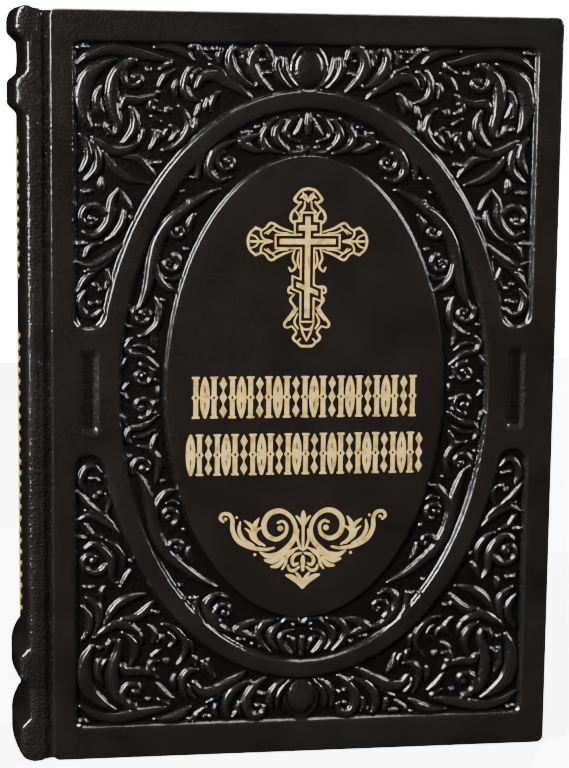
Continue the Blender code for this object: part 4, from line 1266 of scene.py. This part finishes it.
def paper(name, light, dark):
    """Book paper with fibres, in clouds of two tones."""
    material, nodes, links, shader = new_material(name)
    vector = object_coordinates(nodes, links)
    fibre = noise(nodes, links, vector, 0.8, 8.0, 0.75)
    cloud = noise(nodes, links, vector, 0.03, 3.0, 0.5)
    mixed = nodes.new("ShaderNodeMath")
    mixed.operation = "MULTIPLY"
    links.new(fibre, mixed.inputs[0])
    links.new(cloud, mixed.inputs[1])
    colour = ramp(nodes, links, mixed.outputs[0], [(0.12, dark), (0.38, light)])
    links.new(colour, shader.inputs["Base Color"])
    shader.inputs["Roughness"].default_value = 0.85
    shader.inputs["Specular IOR Level"].default_value = 0.25
    links.new(bump(nodes, links, fibre, 0.02), shader.inputs["Normal"])
    return material


def woven(name, colour, pitch, depth):
    """A plain weave of warp and weft threads, pitch millimetres apart."""
    material, nodes, links, shader = new_material(name)
    vector = object_coordinates(nodes, links)
    threads = []
    for direction in ("Y", "Z"):
        wave = nodes.new("ShaderNodeTexWave")
        wave.bands_direction = direction
        wave.inputs["Scale"].default_value = 0.314 / pitch
        wave.inputs["Distortion"].default_value = 0.6
        wave.inputs["Detail"].default_value = 1.0
        links.new(vector, wave.inputs["Vector"])
        threads.append(wave.outputs["Fac"])
    both = nodes.new("ShaderNodeMath")
    both.operation = "MULTIPLY"
    links.new(threads[0], both.inputs[0])
    links.new(threads[1], both.inputs[1])
    shade = ramp(nodes, links, both.outputs[0], [(0.0, [0.55 * c for c in colour]), (0.6, colour)])
    links.new(shade, shader.inputs["Base Color"])
    shader.inputs["Roughness"].default_value = 0.9
    links.new(bump(nodes, links, both.outputs[0], depth), shader.inputs["Normal"])
    return material


def board_card(name, light, dark):
    material, nodes, links, shader = new_material(name)
    vector = object_coordinates(nodes, links)
    speck = noise(nodes, links, vector, 1.6, 6.0, 0.7)
    colour = ramp(nodes, links, speck, [(0.3, dark), (0.7, light)])
    links.new(colour, shader.inputs["Base Color"])
    shader.inputs["Roughness"].default_value = 0.9
    links.new(bump(nodes, links, speck, 0.04), shader.inputs["Normal"])
    return material


# the embossed leather has painted shade in its sunk ground; the spine leather has none
LEATHER = black_leather("embossed_leather")
SPINE_LEATHER = black_leather("spine_grain_leather", pebble=0.10, crease=0.03, wrinkle=0.5, paint_recess_shade=False)
FOIL = gold_foil("stamped_gold")
PAGE = paper("page_paper", (0.76, 0.67, 0.49), (0.58, 0.48, 0.32))
ENDPAPER = paper("cream_endpaper", (0.74, 0.63, 0.43), (0.60, 0.48, 0.30))
GREYBOARD = board_card("greyboard", (0.36, 0.33, 0.29), (0.22, 0.20, 0.17))
CARD = board_card("packing_card", (0.52, 0.44, 0.31), (0.38, 0.31, 0.21))
GAUZE = woven("mull_gauze", (0.72, 0.68, 0.58), 0.8, 0.12)
TAPE = woven("linen_tape", (0.66, 0.60, 0.46), 0.5, 0.10)
THREAD = woven("linen_thread", (0.70, 0.64, 0.50), 0.35, 0.10)
LIGHT_SILK = woven("ivory_silk", (0.78, 0.70, 0.52), 0.25, 0.03)
DARK_SILK = woven("dark_red_silk", (0.16, 0.018, 0.016), 0.25, 0.03)

NODE_FINISH = (("board", GREYBOARD), ("card", CARD), ("band", CARD), ("pastedown", ENDPAPER),
               ("flyleaf", ENDPAPER),
               ("leaf", PAGE), ("mull", GAUZE), ("lining_paper", CARD), ("tape", TAPE), ("kettle", THREAD),
               ("leather", SPINE_LEATHER), ("gilding", FOIL), ("section", PAGE))


def finish_frame():
    """Materials for the pieces whose shape is the frame's own."""
    for name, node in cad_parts.items():
        for word, material in NODE_FINISH:
            if word in name:
                node.data.materials.clear()
                node.data.materials.append(material)
                break


# ------------------------------------------------------------------ studio

def studio():
    floor_mesh = bpy.data.meshes.new("studio_floor")
    floor_mesh.from_pydata([(-0.8, -0.40, 0), (0.8, -0.40, 0), (0.8, 1.0, 0), (-0.8, 1.0, 0)], [],
                           [(0, 1, 2, 3)])
    material, nodes, links, shader = new_material("pale_floor")
    shader.inputs["Base Color"].default_value = (0.92, 0.92, 0.92, 1)
    shader.inputs["Roughness"].default_value = 0.9
    shader.inputs["Emission Color"].default_value = (1, 1, 1, 1)
    seen = nodes.new("ShaderNodeLightPath")
    glow = nodes.new("ShaderNodeMapRange")
    glow.inputs["To Max"].default_value = FLOOR_GLOW
    links.new(seen.outputs["Is Camera Ray"], glow.inputs["Value"])
    links.new(glow.outputs["Result"], shader.inputs["Emission Strength"])
    floor_mesh.materials.append(material)
    floor = bpy.data.objects.new("studio_floor", floor_mesh)
    bpy.context.scene.collection.objects.link(floor)
    floor.visible_glossy = False

    world = bpy.data.worlds.new("studio_white")
    bpy.context.scene.world = world
    world.use_nodes = True
    nodes, links = world.node_tree.nodes, world.node_tree.links
    background = nodes["Background"]
    rays = nodes.new("ShaderNodeLightPath")
    background.inputs["Color"].default_value = (1, 1, 1, 1)
    strength = nodes.new("ShaderNodeMapRange")
    strength.inputs["To Min"].default_value = WORLD_DIM
    strength.inputs["To Max"].default_value = WORLD_BRIGHT
    links.new(rays.outputs["Is Camera Ray"], strength.inputs["Value"])
    links.new(strength.outputs["Result"], background.inputs["Strength"])

    for name, place, aim, size, watts in LIGHTS:
        data = bpy.data.lights.new(name, "AREA")
        data.shape = "RECTANGLE"
        data.size, data.size_y = size
        data.energy = watts
        lamp = bpy.data.objects.new(name, data)
        lamp.location = place
        lamp.rotation_euler = (Vector(aim) - Vector(place)).to_track_quat("-Z", "Y").to_euler()
        bpy.context.scene.collection.objects.link(lamp)

    camera_data = bpy.data.cameras.new("product_camera")
    camera_data.sensor_width = 36.0
    camera_data.sensor_fit = "AUTO"
    camera_data.lens = CAMERA_LENS
    camera = bpy.data.objects.new("product_camera", camera_data)
    camera.location = CAMERA_PLACE
    camera.rotation_euler = [math.radians(turn) for turn in CAMERA_TURN]
    bpy.context.scene.collection.objects.link(camera)
    bpy.context.scene.camera = camera


CAMERA_PLACE = (-0.0953, -0.6500, 0.2149)
CAMERA_TURN = (81.96, -0.64, -8.50)
CAMERA_LENS = 90.88
WORLD_DIM, WORLD_BRIGHT = 0.006, 20.0    # for reflections and for the camera
FLOOR_GLOW = 5.0                    # for the camera only
# name, place, aim, (width, height), watts
LIGHTS = (
    ("left_softbox", (-0.85, -0.62, 0.60), (0, 0, 0.12), (0.085, 0.75), 84),
    ("right_softbox", (0.95, -0.45, 0.62), (0, 0, 0.12), (0.06, 0.55), 26),
    ("overhead", (0.0, 0.06, 1.2), (0, 0.06, 0), (0.7, 0.7), 18),
    ("back_softbox", (0.55, 0.95, 0.65), (0, 0, 0.12), (0.10, 0.75), 30),
)

studio()
finish_frame()
relief = Relief()
FINE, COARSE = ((0.34, 0.5))
front_skin = cover_skin(-1, "front", relief, FINE, LEATHER)
back_skin = cover_skin(1, "back", relief, COARSE, LEATHER)
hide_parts("front_cover_leather")
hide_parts("back_cover_leather")
spine_skin(SPINE_LEATHER)
joint_skin(-1, "front", SPINE_LEATHER)
joint_skin(1, "back", SPINE_LEATHER)
stamp("cover_cross_gold", cross_stencil(), on_front_cover, "front_cover", "cover_cross_gilding", FOIL)
stamp("cover_upper_frieze_gold", upper_band_stencil(), on_front_cover, "front_cover",
      "cover_upper_band_gilding", FOIL)
stamp("cover_lower_frieze_gold", lower_band_stencil(), on_front_cover, "front_cover",
      "cover_lower_band_gilding", FOIL)
stamp("cover_flourish_gold", flourish_stencil(), on_front_cover, "front_cover", "cover_flourish_gilding",
      FOIL)
stamp("spine_upper_frieze_gold", spine_stencil(158, 206, 13), on_spine, "spine", "spine_gilding_upper", FOIL)
stamp("spine_lower_frieze_gold", spine_stencil(46, 142, 25), on_spine, "spine", "spine_gilding_lower", FOIL)
text_block(PAGE)
head_bands(LIGHT_SILK, DARK_SILK)
